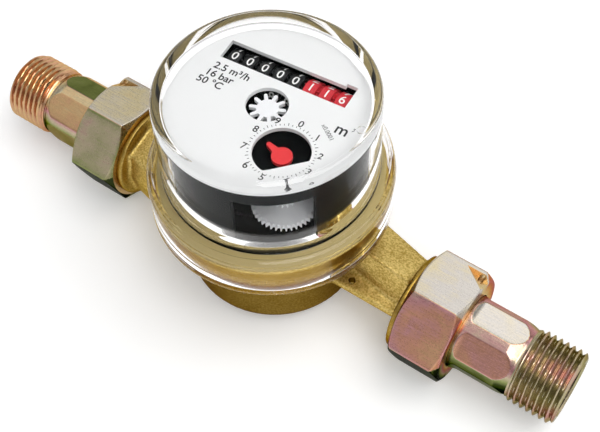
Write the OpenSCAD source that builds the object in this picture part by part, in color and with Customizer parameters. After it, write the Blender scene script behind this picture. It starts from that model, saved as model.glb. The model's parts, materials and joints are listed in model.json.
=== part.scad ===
// Single-jet water meter: cast brass body, union nuts and tails, sealed roller register.
// Millimetres. Pipe axis along +X with the inlet end at the origin, register axis along +Z.

/* [Body] */
// Length of the body from port face to port face
body_length = 110; // [108:1:120]
// Diameter of the port threads at mid flank
port_d = 25.7; // [25:0.1:26.4]
// Length of the port threads
port_thread_l = 8.6; // [8:0.1:10]
// Bore of the ports
port_bore_d = 15; // [12:0.5:17]
// Diameter of the turned collar beside each port thread
port_collar_d = 27.2; // [26.8:0.1:28.4]
// Thickness of the turned collar
port_collar_t = 1.6; // [1.2:0.1:2.5]
// Outside diameter of the cup round the impeller chamber
cup_d = 49; // [48:0.5:52]
// Depth of the cup below the pipe axis
cup_depth = 10.5; // [10:0.5:14]
// Bore of the impeller chamber
chamber_d = 38; // [37:0.5:40]
// Thickness of the chamber floor
floor_t = 3; // [2.5:0.1:3.5]
// Half height of the arms along their high edge
arm_height = 10.5; // [9:0.5:11]
// Bore of the ducts in the arms
duct_d = 10.6; // [8:0.2:11]
// Thickness of the web beside each arm
web_t = 2.5; // [2:0.5:4]
// Distance of the web's free edge from the pipe axis
web_edge = 7.1; // [6.5:0.1:8]
// Diameter of the sealing hole in each web
seal_hole_d = 1.9; // [1:0.1:2.2]
// Height of the brass collar's top above the pipe axis
collar_top = 24; // [23:0.2:25]

/* [Unions] */
// Width of the union nuts across their flats
nut_af = 30; // [29.5:0.5:32]
// Length of the union nuts
nut_length = 15; // [14:0.5:16]
// Thickness of the lip that draws the tailpiece in
nut_lip = 2.5; // [2:0.1:3]
// Roll of both nuts about the pipe axis
nut_roll = 21; // [0:1:59]
// Roll of the outlet tailpiece's flats
outlet_tail_roll = 21; // [0:1:59]
// Roll of the inlet tailpiece's flats
inlet_tail_roll = 8; // [0:1:59]
// Diameter of the sealing-wire hole in each nut
wire_hole_d = 1.6; // [1:0.1:1.8]
// Thickness of the flat gaskets
gasket_t = 1.5; // [1:0.1:2]
// Length of a tailpiece from its collar face to its end
tail_length = 35.5; // [34:0.5:45]
// Diameter of the tailpiece collar
tail_collar_d = 24.6; // [23.5:0.1:25]
// Thickness of the tailpiece collar
tail_collar_t = 2.5; // [2:0.1:3]
// Outside diameter of the tail thread
tail_thread_d = 20.955; // [20.5:0.005:21.3]
// Length of the tail thread
tail_thread_l = 13.7; // [12:0.1:15]
// Diameter of the round shank between the collar and the thread
shank_d = 21; // [20.6:0.1:21.2]
// Width across the six flats of the shank
shank_af = 19.4; // [19:0.1:20]
// Bore of the tailpieces
tail_bore_d = 14.5; // [12:0.5:15]

/* [Cover] */
// Gap between the cover and the register housing
cover_gap = 0.55; // [0.4:0.05:0.8]
// Wall of the cover's upper part
cover_wall = 2.4; // [2.2:0.1:2.5]
// Height of the cover's top above the pipe axis
cover_top = 55.9; // [55.5:0.1:58]
// Thickness of the cover's window
window_t = 2.8; // [2:0.1:3.2]
// Outside diameter of the brim
brim_d = 65.3; // [65:0.1:68]
// Thickness of the skirt
skirt_t = 1.45; // [1.2:0.05:1.8]
// Height of the skirt's lower rim above the pipe axis
skirt_bottom = 15.1; // [14.5:0.1:17]
// Height of the brim's upper side above the pipe axis
brim_top = 29.25; // [28.5:0.1:31]

/* [Register] */
// Turn of the register about its axis, from the pipe's direction
register_turn = 5.3; // [-10:0.1:10]
// Distance that the dial reaches beyond the housing
dial_lap = 0.3; // [0:0.05:0.4]
// Thickness of the dial
dial_t = 1.2; // [0.8:0.1:1.4]
// Height of the dial's face above the pipe axis
dial_z = 50.9; // [50.5:0.1:51.5]
// Outside diameter of the register housing, which the movement is scaled to
housing_d = 50.8; // [46:0.1:56]
// Wall of the register housing
housing_wall = 1.2; // [1:0.1:1.4]
// Height of the upper plate's underside above the pipe axis
upper_plate_z = 45; // [44.8:0.1:45.2]
// Opening angle of the inspection window in the housing
side_window_deg = 46; // [30:1:60]
// Direction of the inspection window from the register's own X axis
side_window_dir = -57; // [-70:1:-45]
// Distance of the pointer's arbor from the register axis
pointer_r = 14.95; // [14.8:0.05:15.1]
// Direction of the pointer's arbor from the register's own X axis
pointer_dir = -46.5; // [-50:0.5:-43]
// Diameter of the sub-dial hole
subdial_d = 14.3; // [12:0.1:15]
// Diameter of the star window
star_window_d = 10.7; // [10:0.1:11]
// Diameter of the star wheel
star_d = 9.3; // [8:0.1:9.6]

/* [Counter] */
// Number of number drums
drums = 8; // [8:1:8]
// Distance from drum to drum
drum_pitch = 4.4; // [4.3:0.05:4.4]
// Diameter of the number drums
drum_d = 10.4; // [10:0.1:10.4]
// Distance of the drum axis from the register axis
counter_y = 11.1; // [10.9:0.1:11.3]
// Place of the right-hand face of the first drum
counter_right = 16.95; // [16.8:0.05:17]
// Width of the counter window
counter_window_w = 35.5; // [34:0.1:36]
// Height of the counter window
counter_window_h = 6.2; // [5.5:0.1:6.5]

/* [Hidden] */
$fn = 96;

// Clearances
run_fit = 0.05;
seat_fit = 0.02;
thread_fit = 0.08;
side_gap = 0.1;
skirt_fit = 0.2;
over = 1;

// Movement: its sizes are given for a housing of movement_d and scaled to the housing
movement_d = 50.8;
fit = housing_d / movement_d;
pointer_place = pointer_r * fit;
subdial_size = subdial_d * fit;
star_window_r = star_window_d / 2 * fit;
star_r = star_d / 2 * fit;
drum_step = drum_pitch * fit;
drum_y = counter_y * fit;
drum_x = counter_right * fit;
window_w = counter_window_w * fit;
window_h = counter_window_h * fit;
drum_r = drum_d / 2 * fit;
gear_module = 0.4;
worm_module = 0.6;
worm_pitch_size = 1;
worm_root_size = 0.55;
worm_tip_size = 1.5;
counter_module = 0.43;
lock_size = 3.3;
drum_hub_size = 2.2;
bracket_drop = 4.4;
ridge_base_size = 0.85;
ridge_crest_size = 0.30;

// Row of drums: its far corner, and the housing, which grows where the row needs more room
row_gap = 0.9;
row_left = drum_x - drums * drum_step;
row_reach = norm([row_left, drum_y + drum_r]);
housing_r = max(housing_d / 2, row_reach + row_gap * fit);

// Places along the pipe, from the register axis
port_face = body_length / 2;
collar_face = port_face - port_thread_l;
arm_tip_x = collar_face - port_collar_t;
tail_face = port_face + gasket_t;
tail_end = tail_face + tail_length;
lip_face = tail_face + tail_collar_t + side_gap;
nut_outer = lip_face + nut_lip;
nut_inner = nut_outer - nut_length;
meter_x = tail_end;

// Union nut and tailpiece
nut_corner_r = nut_af / sqrt(3);
nut_bore_r = port_d / 2 + thread_fit;
nut_face_r = nut_af / 2 - 0.2;
chamfer_slope = tan(30);
lip_hole_r = shank_d / 2 + 0.25;
gasket_r = tail_collar_d / 2 - 0.3;
notch_l = 6.2;
notch_depth = 2;
fin_t = 2.1;
thread_x = tail_end - tail_thread_l;
flats_from = nut_outer + 0.4;
flat_run = 1.6;
neck_r = shank_af / 2 - 0.2;
neck_l = 3.4;
run_in = 0.1;
neck_from = thread_x - 0.4 - neck_l;
end_chamfer = 1;

// Body section, from the bottom up
cup_r = cup_d / 2;
chamber_r = chamber_d / 2;
cup_bottom = -cup_depth;
chamber_floor = cup_bottom + floor_t;
plate_z = 10;
plate_t = 2.5;
plate_r = 22.8;
plate_seat_r = plate_r + 0.2;
ring_h = 5;
ring_r = 24;
base_z = 18.5;
bowl_gap = 0.6;
bowl_r = housing_r + bowl_gap;
collar_r = brim_d / 2 - skirt_t - skirt_fit;
collar_lip_z = 13.2;
collar_band_z = 18.2;
band_step = 0.6;
flare_z = 9;
cup_edge = 1.5;

// Arms, outlet side: edges of the cross-section at the cup and at the collar
arm_root_x = cup_r - 6.5;
arm_root_front = 1.2;
arm_root_back = 16.5;
arm_root_draft = 1.7;
arm_tip_front = -1.5;
arm_tip_back = 9.8;
arm_tip_draft = 3;
arm_fall = 2.5;
arm_chamfer = 1.5;
duct_port_y = 1.6;
duct_cup_y = 13.2;
duct_cup_x = 6;
seal_hole_x = 28.7;
seal_hole_y = -4.5;

// Impeller and its magnet
blades = 8;
blade_t = 1;
blade_r = chamber_r - 1.5;
hub_bottom = chamber_floor + 1.6;
blade_bottom = chamber_floor + 2;
blade_top = 4.5;
hub_r = 4;
magnet_r = 8.5;
magnet_bottom = 5.5;
impeller_top = plate_z - 0.7;
magnet_core_r = 3;
disc_overlap = 0.5;
pivot_r = 0.8;
pivot_in = 2.2;
pivot_tip_gap = 0.3;

// Register housing, from the bottom up
base_floor_t = 1.5;
base_floor = base_z + base_floor_t;
well_r = 9.5;
well_wall = 1.2;
well_floor_z = plate_z + plate_t + 0.5;
well_floor_t = 1.2;
window_bottom = 27;
bead_z = 25;
bead_h = 1.2;
bead_out = 0.3;
upper_plate_t = 1.2;
upper_floor = upper_plate_z + upper_plate_t;
dial_under = dial_z - dial_t;
post_r = 1.7;
post_inset = 3.4;
post_place = housing_r - post_inset;
post_dirs = [90, 200, -10];
screw_r = 0.9;
screw_head_r = 1.3;
screw_head_h = 1;
screw_l = 6;

// Gear train: module, tooth numbers and levels
gear_m = gear_module * fit;
addendum = 0.85;
dedendum = 1.25;
wheel_teeth_n = 40;
pinion_teeth_n = 8;
transfer_gear_n = 18;
idler_n = 32;
tip_half = 0.30;
wheel_root_half = 0.80;
pinion_root_half = 0.55;
arbor_r = 0.8;
tip_r = 0.5;
centre_arbor_r = 1;
stage_1_z = 27.3;
stage_2_z = 30.3;
stage_3_z = 34;
wheel_t = 1.4;

// Arbor places, in the register's own axes
stage_c = gear_m * (wheel_teeth_n + pinion_teeth_n) / 2;
pointer_at = pointer_place * [cos(pointer_dir), sin(pointer_dir)];
first_dir = pointer_dir - acos(pointer_place / 2 / stage_c);
first_at = stage_c * [cos(first_dir), sin(first_dir)];
worm_m = worm_module * fit;
worm_teeth_n = 10;
worm_pitch_r = worm_pitch_size * fit;
worm_root_r = worm_root_size * fit;
worm_core_r = worm_root_r - 0.15;
worm_tip_r = worm_tip_size * fit;
worm_wheel_t = 1;
worm_lead = PI * worm_m;
worm_turns = 3;
worm_x = drum_x + 0.15 + worm_tip_r;
worm_at = [worm_x, drum_y - worm_m * worm_teeth_n / 2 - worm_pitch_r];
idler_c = gear_m * (transfer_gear_n + idler_n) / 2;
worm_from_pointer = worm_at - pointer_at;
worm_dir = atan2(worm_from_pointer[1], worm_from_pointer[0]);
idler_dir = worm_dir + acos(norm(worm_from_pointer) / 2 / idler_c);
idler_at = pointer_at + idler_c * [cos(idler_dir), sin(idler_dir)];

// Counter: drums on one shaft, transfer pinions on another below it
drum_width = drum_step - 0.15;
drum_top_gap = 0.35;
counter_z = dial_under - drum_top_gap - drum_r;
counter_centre_x = drum_x - drums * drum_step / 2;
counter_m = counter_module * fit;
ring_gear_n = 20;
ring_gear_t = 0.55;
lock_r = lock_size * fit;
carry_dir = 60;
drum_hub_r = drum_hub_size * fit;
drum_rim_t = 0.8;
drum_web_t = 1;
shaft_r = 1;
transfer_r = 0.6;
transfer_c = counter_m * (ring_gear_n + pinion_teeth_n) / 2;
transfer_z = counter_z - transfer_c;
cheek_t = 1.2;
cheek_w = 3.4;
cheek_left = row_left - 0.25;
cheek_right = worm_x + worm_wheel_t / 2 + 0.25;
cheek_bottom = transfer_z - transfer_r - 0.6;
bracket_z = counter_z - bracket_drop * fit;
bracket_t = 1;

// Cover section
cover_in_r = housing_r + cover_gap;
cover_r = cover_in_r + cover_wall;
brim_r = brim_d / 2;
skirt_in_r = brim_r - skirt_t;
cover_ledge = collar_top + 0.5;
seal_inset = 0.5;
wall_draft = 0.15;
rim_round = 1.7;
inner_round = 0.75;
brim_fillet = 0.465 * (brim_r - cover_r);
shoulder_h = 2.65;
skirt_edge = 0.4;
nub_r = 1.1;
nub_h = 0.3;
nub_dir = 6;

// Colours
brass = [0.72, 0.58, 0.25];
zinc = [0.68, 0.60, 0.50];
black_plastic = [0.10, 0.11, 0.11];
white_plastic = [0.93, 0.93, 0.93];
red_plastic = [0.85, 0.22, 0.20];
steel = [0.72, 0.73, 0.75];
rubber = [0.12, 0.12, 0.12];
gum_rubber = [0.80, 0.70, 0.46];
ferrite = [0.25, 0.24, 0.24];
clear = [0.85, 0.88, 0.90, 0.35];
grey_plastic = [0.60, 0.62, 0.65];

// Placing and drawing helpers
module at_meter() translate([meter_x, 0, 0]) children();
module outlet_side() at_meter() children();
module inlet_side() at_meter() rotate([0, 0, 180]) children();
module in_register() at_meter() rotate([0, 0, register_turn]) children();
module along_x() rotate([0, 90, 0]) children();
// Turns a flat drawing's axes to Y and Z, so that it is extruded along X
module across_x(x) translate([x, 0, 0]) rotate([90, 0, 90]) children();
module at_counter(x, z) translate([x, drum_y, z]) rotate([90, 0, 90]) children();
module rod(r, z0, z1) translate([0, 0, z0]) cylinder(r = r, h = z1 - z0);
module ring(r_in, r_out, z0, z1) difference() {
    rod(r_out, z0, z1);
    rod(r_in, z0 - over, z1 + over);
}

// Points of an elliptical arc about [cx, cy]
function arc(cx, cy, rx, ry, a0, a1, n = 8) =
    [for (i = [0:n]) let (a = a0 + (a1 - a0) * i / n) [cx + rx * cos(a), cy + ry * sin(a)]];

// Outline of a spur gear with straight flanks, thinned for backlash, with a tooth at angle turn
function gear_points(teeth, root_half, turn, m) =
    let (pitch_r = teeth * m / 2)
    let (root_r = pitch_r - dedendum * m)
    let (top_r = pitch_r + addendum * m)
    let (h = root_half * m)
    let (t = tip_half * m)
    [for (i = [0:teeth - 1])
        for (p = [[root_r, -h], [top_r, -t], [top_r, t], [root_r, h]])
            let (a = turn + 360 * i / teeth + p[1] / p[0] * 180 / PI)
            p[0] * [cos(a), sin(a)]];

// Angle of a follower's tooth that meshes with a gear of n1 teeth, seen from it in direction d
function mesh_turn(d, n1, turn1, n2) = d + 180 + 180 / n2 + (d - turn1) * n1 / n2;
function direction(a, b) = atan2(b[1] - a[1], b[0] - a[0]);

module wheel_gear(teeth, turn, z, t, m = gear_m) translate([0, 0, z])
    linear_extrude(t) polygon(gear_points(teeth, wheel_root_half, turn, m));
module pinion(turn, z, t, m = gear_m) translate([0, 0, z])
    linear_extrude(t) polygon(gear_points(pinion_teeth_n, pinion_root_half, turn, m));

// Teeth in mesh at rest, stage by stage
first_turn = mesh_turn(first_dir, pinion_teeth_n, first_dir, wheel_teeth_n);
to_pointer = direction(first_at, pointer_at);
pointer_turn = mesh_turn(to_pointer, pinion_teeth_n, to_pointer, wheel_teeth_n);
idler_turn = mesh_turn(idler_dir, transfer_gear_n, idler_dir, idler_n);
to_worm = direction(idler_at, worm_at);
worm_gear_turn = mesh_turn(to_worm, idler_n, idler_turn, transfer_gear_n);
transfer_turn = mesh_turn(-90, ring_gear_n, 0, pinion_teeth_n);

// Body
module body_outer() rotate_extrude() polygon(concat(
    [[0, cup_bottom]],
    arc(cup_r - cup_edge, cup_bottom + cup_edge, cup_edge, cup_edge, -90, 0, 5),
    [[cup_r, flare_z], [collar_r - band_step, collar_lip_z], [collar_r, collar_lip_z + band_step],
     [collar_r, collar_band_z], [collar_r - band_step, collar_band_z + band_step],
     [collar_r - band_step, collar_top - band_step], [collar_r - 2 * band_step, collar_top],
     [0, collar_top]]));

function arm_section(front, back, draft) = [
    [front, arm_height], [back - arm_chamfer, arm_height - arm_fall], [back, 0],
    [back - arm_chamfer, arm_fall - arm_height], [front, -arm_height], [front - draft, 0]];

module arm() {
    slice = 0.1;
    hull() {
        across_x(arm_root_x) linear_extrude(slice)
            polygon(arm_section(arm_root_front, arm_root_back, arm_root_draft));
        across_x(arm_tip_x) linear_extrude(slice)
            polygon(arm_section(arm_tip_front, arm_tip_back, arm_tip_draft));
    }
    along_x() rod(port_collar_d / 2, arm_tip_x, collar_face);
    along_x() rod(port_d / 2, arm_tip_x, port_face);
}

module web() difference() {
    translate([0, 0, -web_t / 2]) linear_extrude(web_t) polygon([
        [arm_root_x, -web_edge], [arm_tip_x + port_collar_t / 2, -web_edge],
        [arm_tip_x + port_collar_t / 2, 0], [arm_root_x, arm_root_front]]);
    translate([seal_hole_x, seal_hole_y, 0]) rod(seal_hole_d / 2, -web_t, web_t);
}

module duct() {
    run = [arm_tip_x + port_collar_t + over - duct_cup_x, duct_port_y - duct_cup_y];
    along_x() rod(port_bore_d / 2, arm_tip_x + port_collar_t, port_face + over);
    translate([duct_cup_x, duct_cup_y, 0]) rotate([0, 0, atan2(run[1], run[0])])
        along_x() rod(duct_d / 2, 0, norm(run));
}

module meter_body() color(brass) at_meter() difference() {
    union() {
        body_outer();
        for (turn = [0, 180]) rotate([0, 0, turn]) {
            arm();
            web();
        }
    }
    for (turn = [0, 180]) rotate([0, 0, turn]) duct();
    rod(chamber_r, chamber_floor, plate_z + over);
    rod(plate_seat_r, plate_z, plate_z + plate_t + over);
    rod(ring_r + run_fit, plate_z + plate_t, base_z + over);
    rod(bowl_r, base_z, collar_top + over);
    rod(pivot_r + seat_fit, chamber_floor - floor_t / 2, chamber_floor + over);
}

// Unions
module nut_blank() intersection() {
    along_x() translate([0, 0, nut_inner]) cylinder(r = nut_corner_r, h = nut_length, $fn = 6);
    rise = (nut_corner_r - nut_face_r) * chamfer_slope;
    along_x() rotate_extrude() polygon([
        [0, nut_inner], [nut_face_r, nut_inner], [nut_corner_r, nut_inner + rise],
        [nut_corner_r, nut_outer - rise], [nut_face_r, nut_outer], [0, nut_outer]]);
}

// Notch beside one corner of the nut's outer end: a sloping floor and an upright fin
module wire_notch() {
    slope = atan(notch_depth / notch_l);
    lean = 24;
    fin_y = nut_corner_r / 2 - fin_t;
    translate([nut_outer, fin_y, nut_af / 2 - notch_depth])
        rotate([-lean, 0, 0]) rotate([0, slope, 0]) translate([-2 * notch_l, -3 * notch_l, 0])
        cube([3 * notch_l, 3 * notch_l, notch_l]);
    translate([nut_outer - 1.9, fin_y - over, nut_af / 2 - notch_depth / 2]) rotate([-90, 0, 0])
        cylinder(d = wire_hole_d, h = 3 * fin_t);
}

// roll turns a corner away from the top; notch_side picks the corner on either side of the top flat
module union_nut(roll, notch_side) rotate([roll, 0, 0]) difference() {
    nut_blank();
    along_x() rod(nut_bore_r, nut_inner - over, lip_face);
    along_x() rod(lip_hole_r, nut_inner, nut_outer + over);
    rotate([-30 * notch_side, 0, 0]) mirror([0, notch_side > 0 ? 0 : 1, 0]) wire_notch();
}

module outlet_nut() color(zinc) outlet_side() union_nut(nut_roll, 1);
module inlet_nut() color(zinc) inlet_side() union_nut(-nut_roll, -1);

// Round shank with six milled flats that run out on a taper at the nut and on the neck before the thread
module tailpiece(roll) difference() {
    union() {
        along_x() rod(tail_collar_d / 2, tail_face, tail_face + tail_collar_t);
        along_x() rod(neck_r, tail_face, thread_x + over);
        intersection() {
            rotate([roll, 0, 0]) along_x() translate([0, 0, tail_face])
                cylinder(r = shank_af / sqrt(3), h = thread_x - tail_face, $fn = 6);
            along_x() rotate_extrude() polygon([
                [0, flats_from], [neck_r - run_in, flats_from], [shank_d / 2, flats_from + flat_run],
                [shank_d / 2, neck_from], [neck_r - run_in, neck_from + neck_l], [0, neck_from + neck_l]]);
        }
        along_x() rod(tail_thread_d / 2, thread_x, tail_end - end_chamfer);
        along_x() translate([0, 0, tail_end - end_chamfer])
            cylinder(r1 = tail_thread_d / 2, r2 = tail_thread_d / 2 - end_chamfer, h = end_chamfer);
    }
    along_x() rod(tail_bore_d / 2, tail_face - over, tail_end + over);
}

module outlet_tailpiece() color(zinc) outlet_side() tailpiece(outlet_tail_roll);
module inlet_tailpiece() color(zinc) inlet_side() tailpiece(-inlet_tail_roll);

module gasket() along_x() ring(port_bore_d / 2, gasket_r, port_face, tail_face);
module outlet_gasket() color(rubber) outlet_side() gasket();
module inlet_gasket() color(rubber) inlet_side() gasket();

// Cup with a drilled bottom, pressed into the inlet port
module inlet_strainer() color(white_plastic) inlet_side() {
    strainer_l = port_thread_l - 0.6;
    strainer_r = port_bore_d / 2 - seat_fit;
    wall = 0.8;
    mesh_step = 2;
    difference() {
        along_x() rod(strainer_r, port_face - strainer_l, port_face);
        along_x() rod(strainer_r - wall, port_face - strainer_l + wall, port_face + over);
        for (y = [-2:2], z = [-2:2]) if (norm([y, z]) < 2.5)
            translate([port_face - strainer_l - over, y * mesh_step, z * mesh_step])
                along_x() cylinder(d = 1.3, h = 3 * over, $fn = 24);
    }
}

// Cover
module clear_cover() color(clear) at_meter() union() {
    rotate_extrude() polygon(concat(
        [[skirt_in_r, skirt_bottom], [brim_r - skirt_edge, skirt_bottom]],
        arc(brim_r - (brim_r - cover_r - brim_fillet), brim_top - shoulder_h,
            brim_r - cover_r - brim_fillet, shoulder_h, 0, 90, 10),
        arc(cover_r + brim_fillet, brim_top + brim_fillet, brim_fillet - wall_draft, brim_fillet,
            270, 180, 8),
        arc(cover_r - rim_round, cover_top - rim_round, rim_round, rim_round, 0, 90, 8),
        [[0, cover_top], [0, cover_top - window_t]],
        arc(cover_in_r - inner_round, cover_top - window_t - inner_round, inner_round, inner_round,
            90, 0, 5),
        [[cover_in_r, cover_ledge], [skirt_in_r, cover_ledge]]));
    rotate([0, 0, nub_dir]) translate([cover_r - rim_round - nub_r, 0, 0])
        rod(nub_r, cover_top - window_t / 2, cover_top + nub_h);
}

module cover_gasket() color(gum_rubber) at_meter()
    ring(bowl_r + seal_inset, collar_r - 2 * band_step, collar_top, cover_ledge);

// Wet side
module impeller() color(white_plastic) at_meter() difference() {
    union() {
        rod(hub_r, hub_bottom, magnet_bottom);
        for (i = [0:blades - 1]) rotate([0, 0, 360 * i / blades])
            translate([hub_r - over, -blade_t / 2, blade_bottom])
            cube([blade_r - hub_r + over, blade_t, blade_top - blade_bottom]);
        rod(magnet_r + 0.5, blade_top - disc_overlap, magnet_bottom);
        rod(magnet_core_r, blade_top, impeller_top);
    }
    rod(pivot_r + run_fit, hub_bottom - over, hub_bottom + pivot_in + pivot_tip_gap);
    rod(pivot_r + run_fit, impeller_top - pivot_in - pivot_tip_gap, impeller_top + over);
}

module impeller_magnet() color(ferrite) at_meter()
    ring(magnet_core_r + seat_fit, magnet_r, magnet_bottom, impeller_top);

module lower_pivot() color(steel) at_meter()
    rod(pivot_r, chamber_floor - floor_t / 2, hub_bottom + pivot_in);

module upper_pivot() color(steel) at_meter()
    rod(pivot_r, impeller_top - pivot_in, plate_z + plate_t / 2);

o_ring_r = 0.9;
module separating_plate() color(grey_plastic) at_meter() difference() {
    rod(plate_r, plate_z, plate_z + plate_t);
    groove_r = plate_seat_r - 2 * o_ring_r - 2 * run_fit;
    ring(groove_r, plate_r + over, plate_z + plate_t / 2 - o_ring_r, plate_z + plate_t / 2 + o_ring_r);
    rod(pivot_r + seat_fit, plate_z - over, plate_z + plate_t / 2);
}

module plate_o_ring() color(rubber) at_meter() translate([0, 0, plate_z + plate_t / 2])
    rotate_extrude() translate([plate_seat_r - o_ring_r - run_fit, 0]) circle(r = o_ring_r, $fn = 32);

module clamp_ring() color(brass) at_meter() difference() {
    bottom = plate_z + plate_t;
    ring(ring_r - 7, ring_r, bottom, bottom + ring_h);
    slot_w = 3;
    for (turn = [0:90:270]) rotate([0, 0, turn])
        translate([ring_r - 4, -slot_w / 2, bottom + ring_h / 2]) cube([8, slot_w, ring_h]);
}

module magnet_shield() color(steel) at_meter()
    ring(well_r + well_wall + 0.5, well_r + well_wall + 1.7, plate_z + plate_t, base_z - 0.5);

// Register housing
module register_base() color(black_plastic) in_register() difference() {
    union() {
        rod(well_r + well_wall, well_floor_z, base_floor);
        rod(housing_r, base_z, base_floor);
        ring(housing_r - housing_wall, housing_r, base_z, upper_plate_z);
        ring(housing_r - housing_wall, housing_r + bead_out, bead_z, bead_z + bead_h);
        for (a = post_dirs) rotate([0, 0, a]) translate([post_place, 0, 0])
            rod(post_r, base_z, upper_plate_z);
    }
    rod(well_r, well_floor_z + well_floor_t, base_floor + over);
    rod(tip_r + run_fit, well_floor_z + well_floor_t - 0.8, base_floor);
    for (p = [first_at, pointer_at, idler_at, worm_at]) translate([p[0], p[1], 0])
        rod(tip_r + run_fit, base_floor - 1.1, base_floor + over);
    for (a = post_dirs) rotate([0, 0, a]) translate([post_place, 0, 0])
        rod(screw_r + seat_fit, upper_plate_z - screw_l, upper_plate_z + over);
    rotate([0, 0, side_window_dir - side_window_deg / 2]) rotate_extrude(angle = side_window_deg)
        translate([housing_r - housing_wall - over / 2, window_bottom])
        square([housing_wall + over, upper_plate_z]);
}

module cheeks() {
    for (x = [cheek_left - cheek_t, cheek_right])
        translate([x, drum_y - cheek_w / 2 - 0.4, cheek_bottom])
        cube([cheek_t, cheek_w, upper_floor - cheek_bottom]);
    translate([worm_x - 1.2, worm_at[1] - 1.4, bracket_z])
        cube([cheek_right + cheek_t - worm_x + 1.2, drum_y - worm_at[1], bracket_t]);
}

module upper_plate() color(black_plastic) in_register() difference() {
    union() {
        difference() {
            union() {
                rod(housing_r, upper_plate_z, upper_floor);
                ring(housing_r - 1.5 * housing_wall, housing_r, upper_plate_z, dial_under);
            }
            translate([cheek_left, drum_y - drum_r - 0.4, upper_plate_z - over])
                cube([cheek_right - cheek_left, 2 * drum_r + 0.8, upper_plate_t + 2 * over]);
            translate(worm_at) rod(worm_tip_r + 0.4, upper_plate_z - over, upper_floor + over);
        }
        cheeks();
    }
    rod(centre_arbor_r + run_fit, upper_plate_z - over, upper_floor + over);
    translate(first_at) rod(tip_r + run_fit, upper_plate_z - over, upper_floor + over);
    translate(idler_at) rod(tip_r + run_fit, upper_plate_z - over, upper_floor + over);
    translate(pointer_at) rod(arbor_r + run_fit, upper_plate_z - over, upper_floor + over);
    translate(worm_at) rod(worm_root_r + run_fit, bracket_z - over, bracket_z + bracket_t + over);
    at_counter(cheek_left - 2 * cheek_t, counter_z) rod(shaft_r + seat_fit, 0, 2 * housing_r);
    at_counter(cheek_left - 2 * cheek_t, transfer_z) rod(transfer_r + seat_fit, 0, 2 * housing_r);
    for (a = post_dirs) rotate([0, 0, a]) translate([post_place, 0, 0])
        rod(screw_r + seat_fit, upper_plate_z - over, upper_floor + over);
}

module frame_screws() color(steel) in_register()
    for (a = post_dirs) rotate([0, 0, a]) translate([post_place, 0, 0]) difference() {
        union() {
            rod(screw_r, upper_plate_z - screw_l + 0.3, upper_floor);
            rod(screw_head_r, upper_floor, upper_floor + screw_head_h);
        }
        translate([-screw_head_r, -0.2, upper_floor + screw_head_h / 2])
            cube([2 * screw_head_r, 0.4, screw_head_h]);
    }

module counter_window() {
    notch_w = 3;
    notch_h = 0.9;
    window_x = counter_centre_x - window_w / 2;
    translate([window_x, drum_y - window_h / 2]) square([window_w, window_h]);
    translate([window_x + window_w - notch_w, drum_y]) square([notch_w, window_h / 2 + notch_h]);
}

// Round hole with a flat towards the dial's rim
module subdial_hole() {
    flat_r = pointer_place + 0.31 * subdial_size;
    intersection() {
        translate(pointer_at) circle(d = subdial_size);
        rotate(pointer_dir) translate([flat_r - subdial_size, -subdial_size])
            square([subdial_size, 2 * subdial_size]);
    }
}

module dial_plate() color(white_plastic) in_register() translate([0, 0, dial_under])
    linear_extrude(dial_t) difference() {
        circle(r = housing_r + dial_lap);
        counter_window();
        circle(r = star_window_r);
        subdial_hole();
    }

// Register train
driven_magnet_z = well_floor_z + 2;
driven_magnet_h = 3.5;
module driven_magnet() color(ferrite) in_register()
    ring(centre_arbor_r + seat_fit, magnet_r, driven_magnet_z, driven_magnet_z + driven_magnet_h);

star_t = 1;
star_z = dial_under - 0.2 - star_t;
module magnet_arbor() color(grey_plastic) in_register() {
    rod(tip_r, well_floor_z + well_floor_t - 0.7, driven_magnet_z);
    rod(centre_arbor_r, driven_magnet_z, star_z + star_t / 2);
    rod(2 * centre_arbor_r, driven_magnet_z + driven_magnet_h, driven_magnet_z + driven_magnet_h + 1);
    pinion(first_dir, stage_1_z - 0.5, wheel_t + 1);
}

// Disc with ten round-ended spokes
module star_wheel() color(white_plastic) in_register() difference() {
    spokes = 10;
    spoke_w = 0.95;
    reach = star_r - spoke_w / 2;
    union() {
        translate([0, 0, star_z]) linear_extrude(star_t) union() {
            circle(r = 0.6 * star_r);
            for (i = [0:spokes - 1]) rotate(360 * (i + 0.5) / spokes) {
                translate([0, -spoke_w / 2]) square([reach, spoke_w]);
                translate([reach, 0]) circle(d = spoke_w);
            }
        }
        rod(2 * centre_arbor_r, upper_floor + 0.6, star_z + star_t / 4);
    }
    rod(centre_arbor_r + seat_fit, upper_floor, star_z + star_t / 2 + seat_fit);
}

// Plain arbor between the plates, with a thinner pivot at its lower end and, if asked, at its upper end
module arbor(top, upper_pivot_end) {
    shoulder = base_floor + 0.2;
    rod(tip_r, base_floor - 1, shoulder);
    rod(arbor_r, shoulder, top);
    if (upper_pivot_end) rod(tip_r, top, upper_floor - 0.2);
}

module intermediate_gear() color(black_plastic) in_register() translate(first_at) {
    arbor(upper_plate_z - 0.2, true);
    wheel_gear(wheel_teeth_n, first_turn, stage_1_z, wheel_t);
    pinion(to_pointer, stage_1_z + wheel_t, stage_2_z + wheel_t + 0.5 - stage_1_z - wheel_t);
}

pointer_t = 1;
pointer_z = dial_z - 1.65 - pointer_t;
module pointer_gear() color(white_plastic) in_register() translate(pointer_at) {
    arbor(pointer_z, false);
    wheel_gear(wheel_teeth_n, pointer_turn, stage_2_z, wheel_t);
    wheel_gear(transfer_gear_n, idler_dir, stage_3_z, wheel_t);
}

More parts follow.
